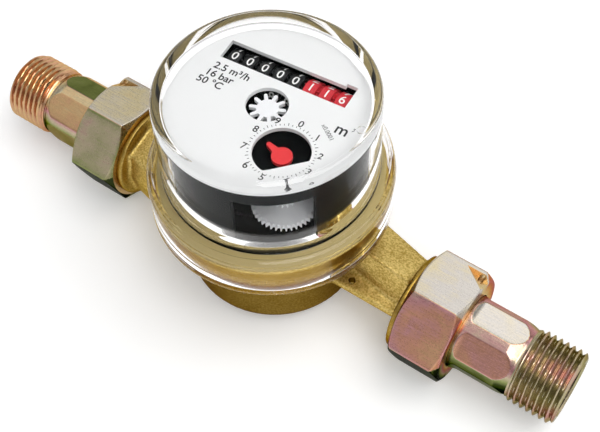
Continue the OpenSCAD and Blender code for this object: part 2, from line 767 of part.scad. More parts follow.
pointer_reads = 160;
module pointer() color(red_plastic) in_register() translate(pointer_at) difference() {
    disc_r = 2.6;
    tip_end_r = 0.6;
    reach = 4.8;
    union() {
        rod(disc_r, pointer_z, pointer_z + pointer_t);
        rod(2 * arbor_r, upper_floor + 0.6, pointer_z);
        translate([0, 0, pointer_z]) rotate([0, 0, pointer_reads]) linear_extrude(pointer_t) {
            polygon([[0, -disc_r / 2], [reach, -tip_end_r], [reach, tip_end_r], [0, disc_r / 2]]);
            translate([reach, 0]) circle(r = tip_end_r);
        }
    }
    rod(arbor_r + seat_fit, upper_floor, pointer_z + seat_fit);
}

module idler_gear() color(grey_plastic) in_register() translate(idler_at) {
    arbor(upper_plate_z - 0.2, true);
    wheel_gear(idler_n, idler_turn, stage_3_z, wheel_t);
}

// Section of the worm across its axis: one broad lobe on a core inside the arbor
function worm_points(base_half, crest_half) = concat(
    [for (a = [-crest_half, 0, crest_half]) worm_tip_r * [cos(a), sin(a)]],
    [for (i = [0:4]) let (a = base_half + (360 - 2 * base_half) * i / 4) worm_core_r * [cos(a), sin(a)]]);

module worm() {
    length = worm_turns * worm_lead;
    ridge_base = ridge_base_size * fit;
    ridge_crest = ridge_crest_size * fit;
    // The crest meets the wheel, towards +Y, at the height of the drum shaft
    start = 90 - 360 * worm_turns / 2;
    translate([0, 0, counter_z - length / 2]) rotate([0, 0, start])
        linear_extrude(length, twist = -360 * worm_turns, slices = 12 * worm_turns, segments = 8)
        polygon(worm_points(180 * ridge_base / worm_lead, 180 * ridge_crest / worm_lead));
}

module worm_arbor() color(grey_plastic) in_register() translate(worm_at) {
    arbor(bracket_z - 0.2, false);
    wheel_gear(transfer_gear_n, worm_gear_turn, stage_3_z, wheel_t);
    rod(worm_root_r, bracket_z - 0.2, counter_z + worm_turns * worm_lead / 2);
    worm();
}

// Counter
module counter_shaft() color(steel) in_register() at_counter(cheek_left - cheek_t, counter_z)
    rod(shaft_r, 0, cheek_right + 2 * cheek_t - cheek_left);
module transfer_shaft() color(steel) in_register() at_counter(cheek_left - cheek_t, transfer_z)
    rod(transfer_r, 0, cheek_right + 2 * cheek_t - cheek_left);

// Teeth of the worm wheel, cut straight, with a gap towards the worm
module worm_wheel() {
    pitch_r = worm_m * worm_teeth_n / 2;
    root_r = pitch_r - 0.65 * fit;
    top_r = pitch_r + 0.35 * fit;
    root_half = 0.42 * fit;
    top_half = 0.2 * fit;
    linear_extrude(worm_wheel_t) union() {
        circle(r = root_r + 0.05);
        for (i = [0:worm_teeth_n - 1]) rotate(180 + 360 * (i + 0.5) / worm_teeth_n)
            polygon([[root_r, -root_half], [top_r, -top_half], [top_r, top_half], [root_r, root_half]]);
    }
}

// One drum: rim for the numbers, 20-tooth ring gear on its right, locking disc with two carry teeth
// on its left; the first drum has the worm wheel in place of the ring gear
module number_drum(i) color(i <= 3 ? red_plastic : black_plastic) in_register()
    at_counter(drum_x - (i - 1) * drum_step - drum_width, counter_z) difference() {
        rim_from = ring_gear_t;
        rim_to = drum_width - ring_gear_t;
        carry_r = ring_gear_n * counter_m / 2 + addendum * counter_m;
        foot_r = lock_r - 0.1;
        root_half = 0.32 * fit;
        tip_w = 0.12 * fit;
        union() {
            rod(drum_hub_r, 0, drum_width);
            ring(drum_r - drum_rim_t, drum_r, rim_from, rim_to);
            rod(drum_r - drum_rim_t / 2, drum_width / 2 - drum_web_t / 2, drum_width / 2 + drum_web_t / 2);
            if (i == 1) {
                rod(drum_hub_r, drum_width, worm_x - drum_x + drum_width + worm_wheel_t / 2);
                translate([0, 0, worm_x - drum_x + drum_width - worm_wheel_t / 2]) worm_wheel();
            } else {
                rod(lock_r, drum_width / 2, rim_to);
                wheel_gear(ring_gear_n, 0, rim_to - side_gap / 2, ring_gear_t + side_gap / 2, counter_m);
            }
            if (i < drums) {
                rod(lock_r, 0, drum_width / 2);
                for (k = [0, 1]) rotate([0, 0, carry_dir + k * 360 / ring_gear_n])
                    linear_extrude(rim_from)
                    polygon([[foot_r, -root_half], [carry_r, -tip_w], [carry_r, tip_w], [foot_r, root_half]]);
            }
        }
        rod(shaft_r + run_fit, -over, 2 * drum_step);
    }

module transfer_pinion(i) color(white_plastic) in_register()
    at_counter(drum_x - i * drum_step - ring_gear_t + side_gap / 2, transfer_z) difference() {
        pinion(transfer_turn, 0, drum_step - drum_width + 2 * ring_gear_t - side_gap, counter_m);
        rod(transfer_r + run_fit, -over, drum_step);
    }

meter_body();
inlet_nut();
outlet_nut();
inlet_tailpiece();
outlet_tailpiece();
inlet_gasket();
outlet_gasket();
inlet_strainer();
clear_cover();
cover_gasket();
impeller();
impeller_magnet();
lower_pivot();
upper_pivot();
separating_plate();
plate_o_ring();
clamp_ring();
magnet_shield();
register_base();
upper_plate();
frame_screws();
dial_plate();
driven_magnet();
magnet_arbor();
star_wheel();
intermediate_gear();
pointer_gear();
pointer();
idler_gear();
worm_arbor();
counter_shaft();
transfer_shaft();
number_drum(1);  // number_drum_1
number_drum(2);  // number_drum_2
number_drum(3);  // number_drum_3
number_drum(4);  // number_drum_4
number_drum(5);  // number_drum_5
number_drum(6);  // number_drum_6
number_drum(7);  // number_drum_7
number_drum(8);  // number_drum_8
transfer_pinion(1);  // transfer_pinion_1
transfer_pinion(2);  // transfer_pinion_2
transfer_pinion(3);  // transfer_pinion_3
transfer_pinion(4);  // transfer_pinion_4
transfer_pinion(5);  // transfer_pinion_5
transfer_pinion(6);  // transfer_pinion_6
transfer_pinion(7);  // transfer_pinion_7
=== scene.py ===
"""Looks for a single-jet water meter: cast body, union nuts, threaded tails and a roller register."""

import json
import math

import bmesh
import bpy
from bpy.props import FloatProperty, FloatVectorProperty, PointerProperty, StringProperty
from mathutils import Matrix, Vector


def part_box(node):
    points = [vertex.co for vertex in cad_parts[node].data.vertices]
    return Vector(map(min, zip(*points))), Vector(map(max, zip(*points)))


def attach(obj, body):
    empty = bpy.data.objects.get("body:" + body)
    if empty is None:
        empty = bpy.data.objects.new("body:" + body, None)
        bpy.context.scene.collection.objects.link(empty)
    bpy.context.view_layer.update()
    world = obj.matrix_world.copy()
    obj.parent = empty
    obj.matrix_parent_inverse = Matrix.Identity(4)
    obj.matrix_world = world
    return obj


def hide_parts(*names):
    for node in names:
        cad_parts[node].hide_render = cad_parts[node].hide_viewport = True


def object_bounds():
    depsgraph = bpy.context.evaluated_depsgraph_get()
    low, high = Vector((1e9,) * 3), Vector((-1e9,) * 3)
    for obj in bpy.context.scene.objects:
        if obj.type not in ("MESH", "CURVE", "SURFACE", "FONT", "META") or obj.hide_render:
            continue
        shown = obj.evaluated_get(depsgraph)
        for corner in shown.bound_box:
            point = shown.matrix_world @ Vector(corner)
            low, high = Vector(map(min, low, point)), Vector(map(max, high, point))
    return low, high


bl_info = {
    "name": "Water Meter",
    "version": (1, 0, 0),
    "blender": (4, 5, 0),
    "location": "View3D > Sidebar > Water Meter",
    "description": "Dresses the packed model of a single-jet water meter",
    "category": "Object",
}

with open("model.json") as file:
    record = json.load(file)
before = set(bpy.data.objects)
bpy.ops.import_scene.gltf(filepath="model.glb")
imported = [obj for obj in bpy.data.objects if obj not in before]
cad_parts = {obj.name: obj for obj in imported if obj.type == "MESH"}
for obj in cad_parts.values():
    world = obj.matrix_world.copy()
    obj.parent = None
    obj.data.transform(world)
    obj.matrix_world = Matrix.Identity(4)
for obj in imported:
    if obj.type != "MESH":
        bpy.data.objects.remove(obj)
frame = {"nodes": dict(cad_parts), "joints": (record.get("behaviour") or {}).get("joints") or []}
CAD_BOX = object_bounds()
MM = 0.001


def joint(name):
    """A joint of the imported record, by name."""
    return next(j for j in frame["joints"] if j["name"] == name)


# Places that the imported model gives, in metres
COVER_LOW, COVER_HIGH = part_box("clear_cover")
METER_X = (COVER_LOW.x + COVER_HIGH.x) / 2
MIDDLE = Vector((METER_X, 0, 0))
COUNTER_AXIS = Vector(joint("drum_1_spin")["axis"])
REGISTER = Matrix.Translation(MIDDLE) @ Matrix.Rotation(math.atan2(COUNTER_AXIS.y, COUNTER_AXIS.x), 4, "Z")
DRUM_Z = joint("drum_1_spin")["pos_m"][2]
COUNTER_Y = (REGISTER.inverted() @ Vector(joint("drum_1_spin")["pos_m"])).y
POINTER_AT = REGISTER.inverted() @ Vector(joint("pointer_spin")["pos_m"])
DIAL_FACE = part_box("dial_plate")[1].z
FLOOR_Z = CAD_BOX[0].z

DRUM_COUNT = 8
RED_DRUMS = 3
INK = 0.012 * MM
# One sealing hole in the webs, in mm from the meter's middle; the other is opposite
SEALING_HOLE = (28.7, -4.5)

# The two ends of the pipe: the frame that a union is built in, and the sense in which its angles run
SIDES = {
    "inlet": Matrix.Translation(MIDDLE) @ Matrix.Rotation(math.pi, 4, "Z"),
    "outlet": Matrix.Translation(MIDDLE),
}
WAY = {"inlet": -1, "outlet": 1}

# Depth of the film on each flat of a nut and a tail, from the top one round by the front; partly painted
# light and shade, each flat lighter or darker by how the light falls on it
NUT_FILM_AND_SHADE = {"outlet": (0.02, 0.42, 1.0, 0.66, 0.5, 0.4), "inlet": (0.13, 0.68, 1.0, 0.7, 0.52, 0.6)}
TAIL_FILM_AND_SHADE = {"outlet": (0.02, 0.44, 0.85, 0.66, 0.5, 0.6), "inlet": (0.85, 0.32, 0.7, 0.66, 0.4, 0.6)}
# How much deeper the film is at a nut's inner end than at its outer end
NUT_CHANGE = {"outlet": 0.1, "inlet": 0}
# Depth of the film on a tail's round strips, and on its thread's crests, grooves and copper bands; the darker
# grooves are partly painted shade, the copper bands along the top and front partly a painted highlight
ROUND_FILM = {"outlet": 0.59, "inlet": 0.22}
THREAD_FILM_AND_SHADE = {"outlet": (0.67, 0.71, 0.1), "inlet": (0.27, 0.37, 0)}
# Painted shade: the film inside the bores of nuts and tails is dark green
BORE_SHADE = 0.95
CUT_FILM = 0.24


def linear(code):
    """An sRGB hex colour as linear RGBA."""
    parts = [int(code[i:i + 2], 16) / 255 for i in (1, 3, 5)]
    return [c / 12.92 if c <= 0.04045 else ((c + 0.055) / 1.055) ** 2.4 for c in parts] + [1.0]


def number(name, description, default, **kind):
    """A number property."""
    return FloatProperty(name=name, description=description, default=default, **kind)


def length(name, description, millimetres):
    """A size property, given in millimetres and kept in metres."""
    return number(name, description, millimetres * MM, unit="LENGTH", precision=5)


def angle(name, description, degrees):
    """An angle property, given in degrees."""
    return number(name, description, math.radians(degrees), subtype="ANGLE")


def colour(name, description, code):
    """A colour property from a hex value."""
    return FloatVectorProperty(name=name, description=description, subtype="COLOR", size=4, min=0, max=1,
                               default=linear(code))


class MeterUnionSizes(bpy.types.PropertyGroup):
    """Sizes of the union nuts and the tails."""

    across_flats: length("Across flats", "Width of a nut across its flats", 30)
    nut_roll: angle("Roll", "Turn of a nut's corner from the top", 21)
    nut_edge: length("Nut edge", "Rounding of a nut's edges", 0.35)
    nut_bore: length("Nut bore", "Radius of a nut's threaded bore", 12.93)
    lip: length("Lip", "Thickness of a nut's lip", 2.5)
    lip_hole: length("Lip hole", "Radius of the hole in a nut's lip", 10.75)
    thread_pitch: length("Pitch", "Pitch of the tail thread", 1.814)
    thread_radius: length("Thread radius", "Outside radius of the tail thread", 10.4775)
    thread_depth: length("Thread depth", "Depth of the tail thread", 1.16)
    thread_length: length("Thread length", "Length of the tail thread", 13.7)
    shank_radius: length("Shank radius", "Radius of a tail's round shank", 10.5)
    shank_flats: length("Shank flats", "Width across the flats of a tail's shank", 19.4)
    outlet_roll: angle("Outlet roll", "Turn of the outlet tail's flats", 21)
    inlet_roll: angle("Inlet roll", "Turn of the inlet tail's flats", 8)
    neck: length("Neck", "Length of the taper from a tail's shank to its thread", 3.4)
    neck_radius: length("Neck radius", "Radius of a tail beside its thread", 9.5)
    collar_radius: length("Collar radius", "Radius of a tail's collar", 12.3)
    collar: length("Collar", "Thickness of a tail's collar", 2.5)
    tail_bore: length("Tail bore", "Radius of a tail's bore", 7.25)


class MeterFinishes(bpy.types.PropertyGroup):
    """Colours of the finishes."""

    brass: colour("Cast brass", "Bright side of the sand-cast brass", "#D8BE76")
    brass_dark: colour("Brass in hollows", "Brass in the hollows of its grain", "#A98F48")
    # Painted shade on the cup under the cover's skirt and in the sealing holes
    brass_stain: colour("Brass shading", "Brass gone dull on the cup", "#665023")
    # Turned brass, made darker partly as painted shade, at the collar under the cover's skirt and at the
    # ports beside the nuts
    brass_turned: colour("Turned brass", "Brass where a lathe has cut it", "#86661F")
    dial: colour("Dial", "White of the dial", "#F1F2F2")
    print: colour("Print", "Ink of the dial's print", "#17181B")
    drum_black: colour("Black drums", "Colour of the black drums", "#1B1D1E")
    drum_red: colour("Red drums", "Colour of the red drums", "#D2303A")
    pointer: colour("Pointer", "Red of the pointer", "#E8383C")
    housing: colour("Housing", "Black of the register's housing", "#101415")
    acetal: colour("Acetal", "White of the gears", "#F3F4F6")


class MeterStage(bpy.types.PropertyGroup):
    """Camera and light."""

    camera_at: FloatVectorProperty(name="Camera", description="Place of the camera", unit="LENGTH",
                                   subtype="TRANSLATION", default=(0.202223, -0.138146, 0.260094))
    camera_aim: FloatVectorProperty(name="Aim", description="Point in the picture's middle", unit="LENGTH",
                                    subtype="TRANSLATION", default=(0.101726, -0.001346, 0.012735))
    camera_roll: angle("Roll", "Roll of the camera", -1.97)
    lens: number("Lens", "Focal length on a 36 mm sensor, in mm", 67.13)
    key_power: number("Key", "Power of the softbox overhead", 4.4, unit="POWER")
    back_power: number("Back", "Power of the softbox behind the meter", 0.6, unit="POWER")
    front_power: number("Front", "Power of the softbox above the camera", 4.5, unit="POWER")
    sky_top: number("Sky", "Strength of the soft light from above", 0.6)
    sky_low: number("Horizon", "Strength of the soft light at the sides", 0.3)


class MeterCounter(bpy.types.PropertyGroup):
    """Print on the dial and the drums."""

    reading: StringProperty(name="Reading", description="Digits that show in the counter, left to right",
                            default="00000116")
    digit_height: length("Digit height", "Height of the drums' digits", 2.5)
    drum_radius: length("Drum radius", "Radius of the drums", 5.2)
    drum_pitch: length("Drum pitch", "Distance from drum to drum", 4.4)
    drum_right: length("First drum", "Right-hand face of the first drum", 16.95)
    drum_width: length("Drum width", "Width of a drum", 4.25)
    scale_radius: length("Scale radius", "Radius of the sub-dial's numbers", 9.3)
    tick_radius: length("Tick radius", "Radius of the sub-dial's ticks", 7.9)


def plug(tree, target, values):
    """Set a node's inputs: a node is linked by its first output, a socket as it is, others are values."""
    for name, value in values.items():
        if isinstance(value, bpy.types.Node):
            value = value.outputs[0]
        if isinstance(value, bpy.types.NodeSocket):
            tree.links.new(value, target.inputs[name])
        else:
            target.inputs[name].default_value = value


def node(tree, kind, values=(), stops=(), **settings):
    """Add a node, a shader's unless its kind says Node: settings are properties, stops a ramp's colours."""
    made = tree.nodes.new(kind if "Node" in kind else "ShaderNode" + kind)
    for name, value in settings.items():
        setattr(made, name, value)
    plug(tree, made, dict(values))
    for i, (place, value) in enumerate(stops):
        element = made.color_ramp.elements[i] if i < 2 else made.color_ramp.elements.new(place)
        element.position = place
        element.color = value
    return made


def new_material(name, **values):
    """A material with one Principled shader, its sockets set directly; one made before has no tree here."""
    made = bpy.data.materials.get(name)
    if made:
        return made, None, None
    made = bpy.data.materials.new(name)
    made.use_nodes = True
    shader = made.node_tree.nodes["Principled BSDF"]
    for socket, value in values.items():
        shader.inputs[socket.replace("_", " ")].default_value = value
    return made, made.node_tree, shader


# Where most of a noise pattern's values lie
NOISE_SPAN = {"From Min": 0.3, "From Max": 0.7}
# Colours of the chromate film by its depth: silver, straw, copper, pink, rose, olive, green, dark green
FILM = [(0.0, "#CCC6BF"), (0.16, "#D6C79F"), (0.3, "#CDA97B"), (0.42, "#C28D76"), (0.53, "#BC898C"),
        (0.67, "#B2A58A"), (0.83, "#848B57"), (1.0, "#3C4429")]


def cast_brass():
    """Sand-cast brass, tumbled: bright grains half a millimetre wide, darkened where painted shade is marked,
    smooth where turned and darker there, partly as painted shade.
    """
    look = bpy.context.scene.meter_finishes
    made, tree, shader = new_material("cast_brass", Metallic=1.0)
    if tree is None:
        return made
    place = node(tree, "TexCoord").outputs["Object"]
    grain = node(tree, "TexNoise", {"Vector": place, "Scale": 1 / (0.55 * MM), "Detail": 3.0})
    patch = node(tree, "TexNoise", {"Vector": place, "Scale": 1 / (8 * MM), "Detail": 2.0})
    blend = node(tree, "Mix", {"Factor": 0.25, "A": grain, "B": patch})
    tint = node(tree, "ValToRGB", {"Fac": blend}, [(0.40, look.brass_dark), (0.60, look.brass)])
    # Painted shade: the cup under the cover's skirt and the sealing holes are darkened
    stained = node(tree, "Attribute", attribute_name="stained").outputs["Fac"]
    # Turned brass is smoother, and its darker colour is partly painted shade
    turned = node(tree, "Attribute", attribute_name="turned").outputs["Fac"]
    for marked, shade in [(stained, look.brass_stain), (turned, look.brass_turned)]:
        mix = node(tree, "Mix", {"Factor": marked, "A": tint, "B": shade}, data_type="RGBA")
        tint = mix.outputs["Result"]
    rough = node(tree, "MapRange", {"Value": grain, **NOISE_SPAN, "To Min": 0.52, "To Max": 0.38})
    rough = node(tree, "Mix", {"Factor": turned, "A": rough, "B": 0.24})
    relief = node(tree, "MapRange", {"Value": turned, "To Min": 0.6, "To Max": 0.05})
    bump = node(tree, "Bump", {"Height": grain, "Strength": relief, "Distance": 0.14 * MM})
    plug(tree, shader, {"Base Color": tint, "Specular Tint": tint, "Roughness": rough, "Normal": bump})
    return made


def passivated_zinc(name, mottle, grain_mm, roughness):
    """Brushed zinc plate under a chromate film, whose colour goes by its depth and drifts in clouds; the
    depth painted on each piece is partly painted light and shade.
    """
    made, tree, shader = new_material(name, Metallic=1.0)
    if tree is None:
        return made
    place = node(tree, "TexCoord").outputs["Object"]
    # The film depth is partly painted light and shade
    depth = node(tree, "Attribute", attribute_name="film").outputs["Fac"]
    cloud = node(tree, "TexNoise", {"Vector": place, "Scale": 1 / (6 * MM), "Detail": 3.0, "Distortion": 0.4})
    drift = node(tree, "MapRange", {"Value": cloud, "From Min": 0.25, "From Max": 0.75, "To Min": -mottle,
                                    "To Max": mottle})
    along = node(tree, "Mapping", {"Vector": place, "Scale": (0.06, 1, 1)})
    lines = node(tree, "TexNoise", {"Vector": along, "Scale": 1 / (0.35 * MM), "Detail": 2.0})
    brushed = node(tree, "MapRange", {"Value": lines, **NOISE_SPAN, "To Min": -0.5 * mottle,
                                      "To Max": 0.5 * mottle})
    film = node(tree, "Math", {0: depth, 1: drift}, operation="ADD")
    film = node(tree, "Math", {0: film, 1: brushed}, operation="ADD")
    stops = [(at, linear(code)) for at, code in [FILM[0], FILM[-1], *FILM[1:-1]]]
    tint = node(tree, "ValToRGB", {"Fac": film}, stops)
    grain = node(tree, "TexNoise", {"Vector": place, "Scale": 1 / (grain_mm * MM), "Detail": 2.0})
    skin = node(tree, "Mix", {"Factor": 0.5, "A": grain, "B": lines})
    level = node(tree, "MapRange", {"Value": skin, "From Min": 0.35, "From Max": 0.65, "To Min": 0.84,
                                    "To Max": 1.1})
    shade = node(tree, "VectorMath", {0: tint, "Scale": level}, operation="SCALE")
    rough = node(tree, "MapRange", {"Value": skin, **NOISE_SPAN, "To Min": roughness - 0.08,
                                    "To Max": roughness + 0.1})
    bump = node(tree, "Bump", {"Height": skin, "Strength": 0.3, "Distance": 0.06 * MM})
    plug(tree, shader, {"Base Color": shade, "Specular Tint": shade, "Roughness": rough, "Normal": bump})
    return made


def clear_polycarbonate():
    """Moulded polycarbonate, clear right through; its IOR, in truth about 1.58, is matched to the photo."""
    made, tree, shader = new_material("clear_polycarbonate", Base_Color=linear("#FDFDFD"), Roughness=0.01,
                                      Transmission_Weight=1.0)
    if tree is None:
        return made
    edge = node(tree, "Attribute", attribute_name="edge").outputs["Fac"]
    plug(tree, shader, {"IOR": node(tree, "MapRange", {"Value": edge, "To Min": 1.07, "To Max": 1.5})})
    return made


def moulded(name, tint, roughness, shine=0.5):
    """Moulded plastic or rubber: an even colour with the faint texture of its mould."""
    made, tree, shader = new_material(name, Base_Color=tint, Specular_IOR_Level=shine)
    if tree is None:
        return made
    place = node(tree, "TexCoord").outputs["Object"]
    grain = node(tree, "TexNoise", {"Vector": place, "Scale": 1 / (0.6 * MM), "Detail": 2.0})
    rough = node(tree, "MapRange", {"Value": grain, **NOISE_SPAN, "To Min": roughness - 0.05,
                                    "To Max": roughness + 0.05})
    bump = node(tree, "Bump", {"Height": grain, "Strength": 0.15, "Distance": 0.02 * MM})
    plug(tree, shader, {"Roughness": rough, "Normal": bump})
    return made


def bright_steel(name, code, roughness):
    """Drawn or sintered metal inside the meter: its grain, half a millimetre wide, breaks up the shine."""
    made, tree, shader = new_material(name, Base_Color=linear(code), Metallic=1.0)
    if tree is None:
        return made
    place = node(tree, "TexCoord").outputs["Object"]
    grain = node(tree, "TexNoise", {"Vector": place, "Scale": 1 / (0.5 * MM)})
    rough = node(tree, "MapRange", {"Value": grain, "To Min": roughness - 0.1, "To Max": roughness + 0.1})
    plug(tree, shader, {"Roughness": rough})
    return made


def shared_finishes():
    """Slot and material of what both the register and the wet side have: white and grey acetal, and steel."""
    white = moulded("acetal_white", bpy.context.scene.meter_finishes.acetal, 0.38)
    grey = moulded("acetal_grey", linear("#8E9195"), 0.4)
    steel = bright_steel("drawn_steel", "#C3C6CA", 0.3)
    return ("white_plastic", white), ("grey_plastic", grey), ("steel", steel)


def link(name, data):
    """An object for a mesh or other data, in the scene."""
    made = bpy.data.objects.new(name, data)
    bpy.context.scene.collection.objects.link(made)
    return made


def smooth(mesh, sharp_deg=30):
    """Shade a mesh smoothly, with sharp edges past an angle."""
    mesh.shade_smooth()
    mesh.set_sharp_from_angle(angle=math.radians(sharp_deg))


def to_object(name, bm, sharp_deg=30):
    """An object from a bmesh, smooth up to sharp_deg, without normals of its own."""
    mesh = bpy.data.meshes.new(name)
    bm.to_mesh(mesh)
    bm.free()
    for attribute in [a for a in mesh.attributes if a.name == "custom_normal"]:
        mesh.attributes.remove(attribute)
    smooth(mesh, sharp_deg)
    return link(name, mesh)


def from_bmesh(name, bm, sharp_deg=30):
    """An object from a new bmesh: doubles merged and normals outward."""
    bmesh.ops.remove_doubles(bm, verts=bm.verts, dist=0.0005 * MM)
    bmesh.ops.recalc_face_normals(bm, faces=bm.faces)
    return to_object(name, bm, sharp_deg)


def cad_copy(name, each):
    """A copy of a CAD node's mesh, merged so that it shades smoothly."""
    bm = bmesh.new()
    bm.from_mesh(frame["nodes"][each].data)
    bmesh.ops.remove_doubles(bm, verts=bm.verts, dist=0.001 * MM)
    return to_object(name, bm)


def settle(piece, body, slot, material, stands_for=None):
    """Give a finished piece its material, its body and the CAD node that it stands for; the slot is not used.
    """
    piece.data.materials.clear()
    piece.data.materials.append(material)
    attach(piece, body)
    if stands_for:
        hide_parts(stands_for)
    return piece


def apply_modifiers(piece):
    """Make a piece's modifiers part of its mesh."""
    bpy.context.view_layer.update()
    graph = bpy.context.evaluated_depsgraph_get()
    mesh = bpy.data.meshes.new_from_object(piece.evaluated_get(graph))
    old = piece.data
    piece.modifiers.clear()
    piece.data = mesh
    bpy.data.meshes.remove(old)
    mesh.name = piece.name


def cut(piece, cutter, operation="DIFFERENCE"):
    """Cut a closed mesh out of a piece, or join it, and drop the cutter."""
    boolean = piece.modifiers.new("cut", "BOOLEAN")
    boolean.object = cutter
    boolean.operation = operation
    boolean.solver = "EXACT"
    apply_modifiers(piece)
    mesh = cutter.data
    bpy.data.objects.remove(cutter)
    bpy.data.meshes.remove(mesh)


def arc(centre, radii, start, end, steps):
    """Points of an elliptical arc, angles in degrees."""
    angles = [math.radians(start + (end - start) * i / steps) for i in range(steps + 1)]
    return [(centre[0] + radii[0] * math.cos(a), centre[1] + radii[1] * math.sin(a)) for a in angles]


def lathe(name, profile, segments):
    """A closed (radius, height) outline turned about the register's axis, in metres."""
    bm = bmesh.new()
    rings = []
    for r, z in profile:
        if r < 1e-9:
            rings.append([bm.verts.new((METER_X, 0, z))] * segments)
            continue
        turn = [2 * math.pi * i / segments for i in range(segments)]
        rings.append([bm.verts.new((METER_X + r * math.cos(a), r * math.sin(a), z)) for a in turn])
    for near, far in zip(rings, rings[1:] + rings[:1]):
        for i in range(segments):
            j = (i + 1) % segments
            corners = [near[i], near[j], far[j], far[i]]
            corners = [v for k, v in enumerate(corners) if v not in corners[:k]]
            if len(corners) > 2:
                bm.faces.new(corners)
    return from_bmesh(name, bm)


def pipe_turning(name, side, stations, turns, radius, bore, sharp_deg=30):
    """A hollow turning on the pipe's axis: radius(x, turn) outside, (x, radius) rings inside."""
    bm = bmesh.new()
    place = SIDES[side]

    def ring(x, radii):
        points = [(x, -r * math.sin(t), r * math.cos(t)) for t, r in zip(turns, radii)]
        return [bm.verts.new(place @ Vector(p)) for p in points]

    rings = [ring(x, [radius(x, t) for t in turns]) for x in stations]
    rings += [ring(x, [r] * len(turns)) for x, r in bore]
    for near, far in zip(rings, rings[1:] + rings[:1]):
        for i in range(len(turns)):
            j = (i + 1) % len(turns)
            bm.faces.new((near[i], near[j], far[j], far[i]))
    return from_bmesh(name, bm, sharp_deg)


def pipe_span(side, each):
    """Where a CAD node starts and ends on the pipe's axis, measured outward from the meter's middle."""
    low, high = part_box(each)
    if side == "outlet":
        return low.x - METER_X, high.x - METER_X
    return METER_X - high.x, METER_X - low.x


def clamp(value, high=1):
    """A value kept between 0 and high."""
    return min(max(value, 0), high)


def soft_min(a, b, k):
    """The lower of two values, rounded over a width of k."""
    h = max(k - abs(a - b), 0) / k
    return min(a, b) - h * h * k / 4


def box_mesh(name, size, place):
    """A closed box with one corner at the origin, put in place by a matrix."""
    bm = bmesh.new()
    bmesh.ops.create_cube(bm, size=1)
    grow = Matrix.Diagonal((*size, 1)) @ Matrix.Translation((0.5, 0.5, 0.5))
    bmesh.ops.transform(bm, matrix=place @ grow, verts=bm.verts)
    return from_bmesh(name, bm)


def rod_mesh(name, radius, depth, place):
    """A closed rod along Z, centred, put in place by a matrix."""
    bm = bmesh.new()
    bmesh.ops.create_cone(bm, cap_ends=True, segments=32, radius1=radius, radius2=radius, depth=depth)
    bmesh.ops.transform(bm, matrix=place, verts=bm.verts)
    return from_bmesh(name, bm)


def union_nut(side):
    """A hexagon nut with rounded edges, chamfered ends and a notched, drilled corner."""
    size = bpy.context.scene.meter_unions
    inner, outer = pipe_span(side, side + "_nut")
    flat = size.across_flats / 2
    corner = flat / math.cos(math.pi / 6)
    end_face = flat - 0.2 * MM
    slope = math.tan(math.radians(30))
    roll = WAY[side] * size.nut_roll
    k = size.nut_edge

    def radius(x, turn):
        facet = (turn - roll) % (math.pi / 3) - math.pi / 6
        hexagon = flat / math.cos(facet)
        beside = flat / math.cos(math.pi / 3 - abs(facet))
        sides = soft_min(hexagon, beside, k)
        reach = min(x - inner, outer - x)
        return soft_min(sides, end_face + reach / slope, k)

    middles = [roll + math.pi / 6 + i * math.pi / 3 for i in range(6)]
    turns = [middle + math.radians(step) for middle in middles for step in range(-30, 30)]
    chamfer = (corner - end_face) * slope + k
    steps = [chamfer * (i / 14) ** 1.2 for i in range(15)]
    stations = [inner + s for s in steps]
    stations += [inner + chamfer + (outer - inner - 2 * chamfer) * i / 6 for i in range(1, 6)]
    stations += [outer - s for s in reversed(steps)]
    lip_face = outer - size.lip
    bore = [(outer, size.lip_hole), (lip_face, size.lip_hole), (lip_face, size.nut_bore),
            (inner, size.nut_bore)]
    nut = pipe_turning(side + "_union_nut", side, stations, turns, radius, bore)
    notch(nut, side, outer, flat, corner, roll)
    below_flats, edge_width, end_film, edge_film = 0.3 * MM, 2 * MM, 0.2, 0.15

    def film(x, turn, r):
        # Below the flats: the nut's outer end face, and its bore, painted dark green as shade
        if r < flat - below_flats:
            return end_film if x > outer - 0.01 * MM else BORE_SHADE
        # At the edges the film deepens on dark flats and goes to bare silver on light flats, partly rubbed
        # bare and partly a painted highlight along the edges
        border = max((r - flat) / (corner - flat), 1 - min(x - inner, outer - x) / edge_width, 0)
        drift = NUT_CHANGE[side] * (0.5 - (x - inner) / (outer - inner))
        # Each flat's film is partly painted light and shade
        base = facet_film(NUT_FILM_AND_SHADE[side], side, turn, roll) + drift
        return base + (edge_film if base > 0.3 else -base) * border ** 3

    paint_film(nut, side, film, radius)
    return nut


def notch(nut, side, outer, flat, corner, roll):
    """The sloping notch and the sealing-wire hole at one corner of a nut's outer end."""
    reach, depth, fin, lean = 6.2 * MM, 2 * MM, 2.1 * MM, math.radians(24)
    hole_in, hole_radius = 1.9 * MM, 0.8 * MM
    way = WAY[side]
    turn = Matrix.Rotation(roll - way * math.pi / 6, 4, "X") @ Matrix.Diagonal((1, way, 1, 1))
    base = SIDES[side] @ turn @ Matrix.Translation((outer, corner / 2 - fin, flat - depth))
    tilt = Matrix.Rotation(-lean, 4, "X") @ Matrix.Rotation(math.atan(depth / reach), 4, "Y")
    shift = Matrix.Translation((-2 * reach, -3 * reach, 0))
    cut(nut, box_mesh("notch_cutter", (3 * reach, 3 * reach, reach), base @ tilt @ shift))
    hole = base @ Matrix.Translation((-hole_in, fin, depth / 2)) @ Matrix.Rotation(math.pi / 2, 4, "X")
    cut(nut, rod_mesh("hole_cutter", hole_radius, 4 * fin, hole))
    smooth(nut.data, 25)


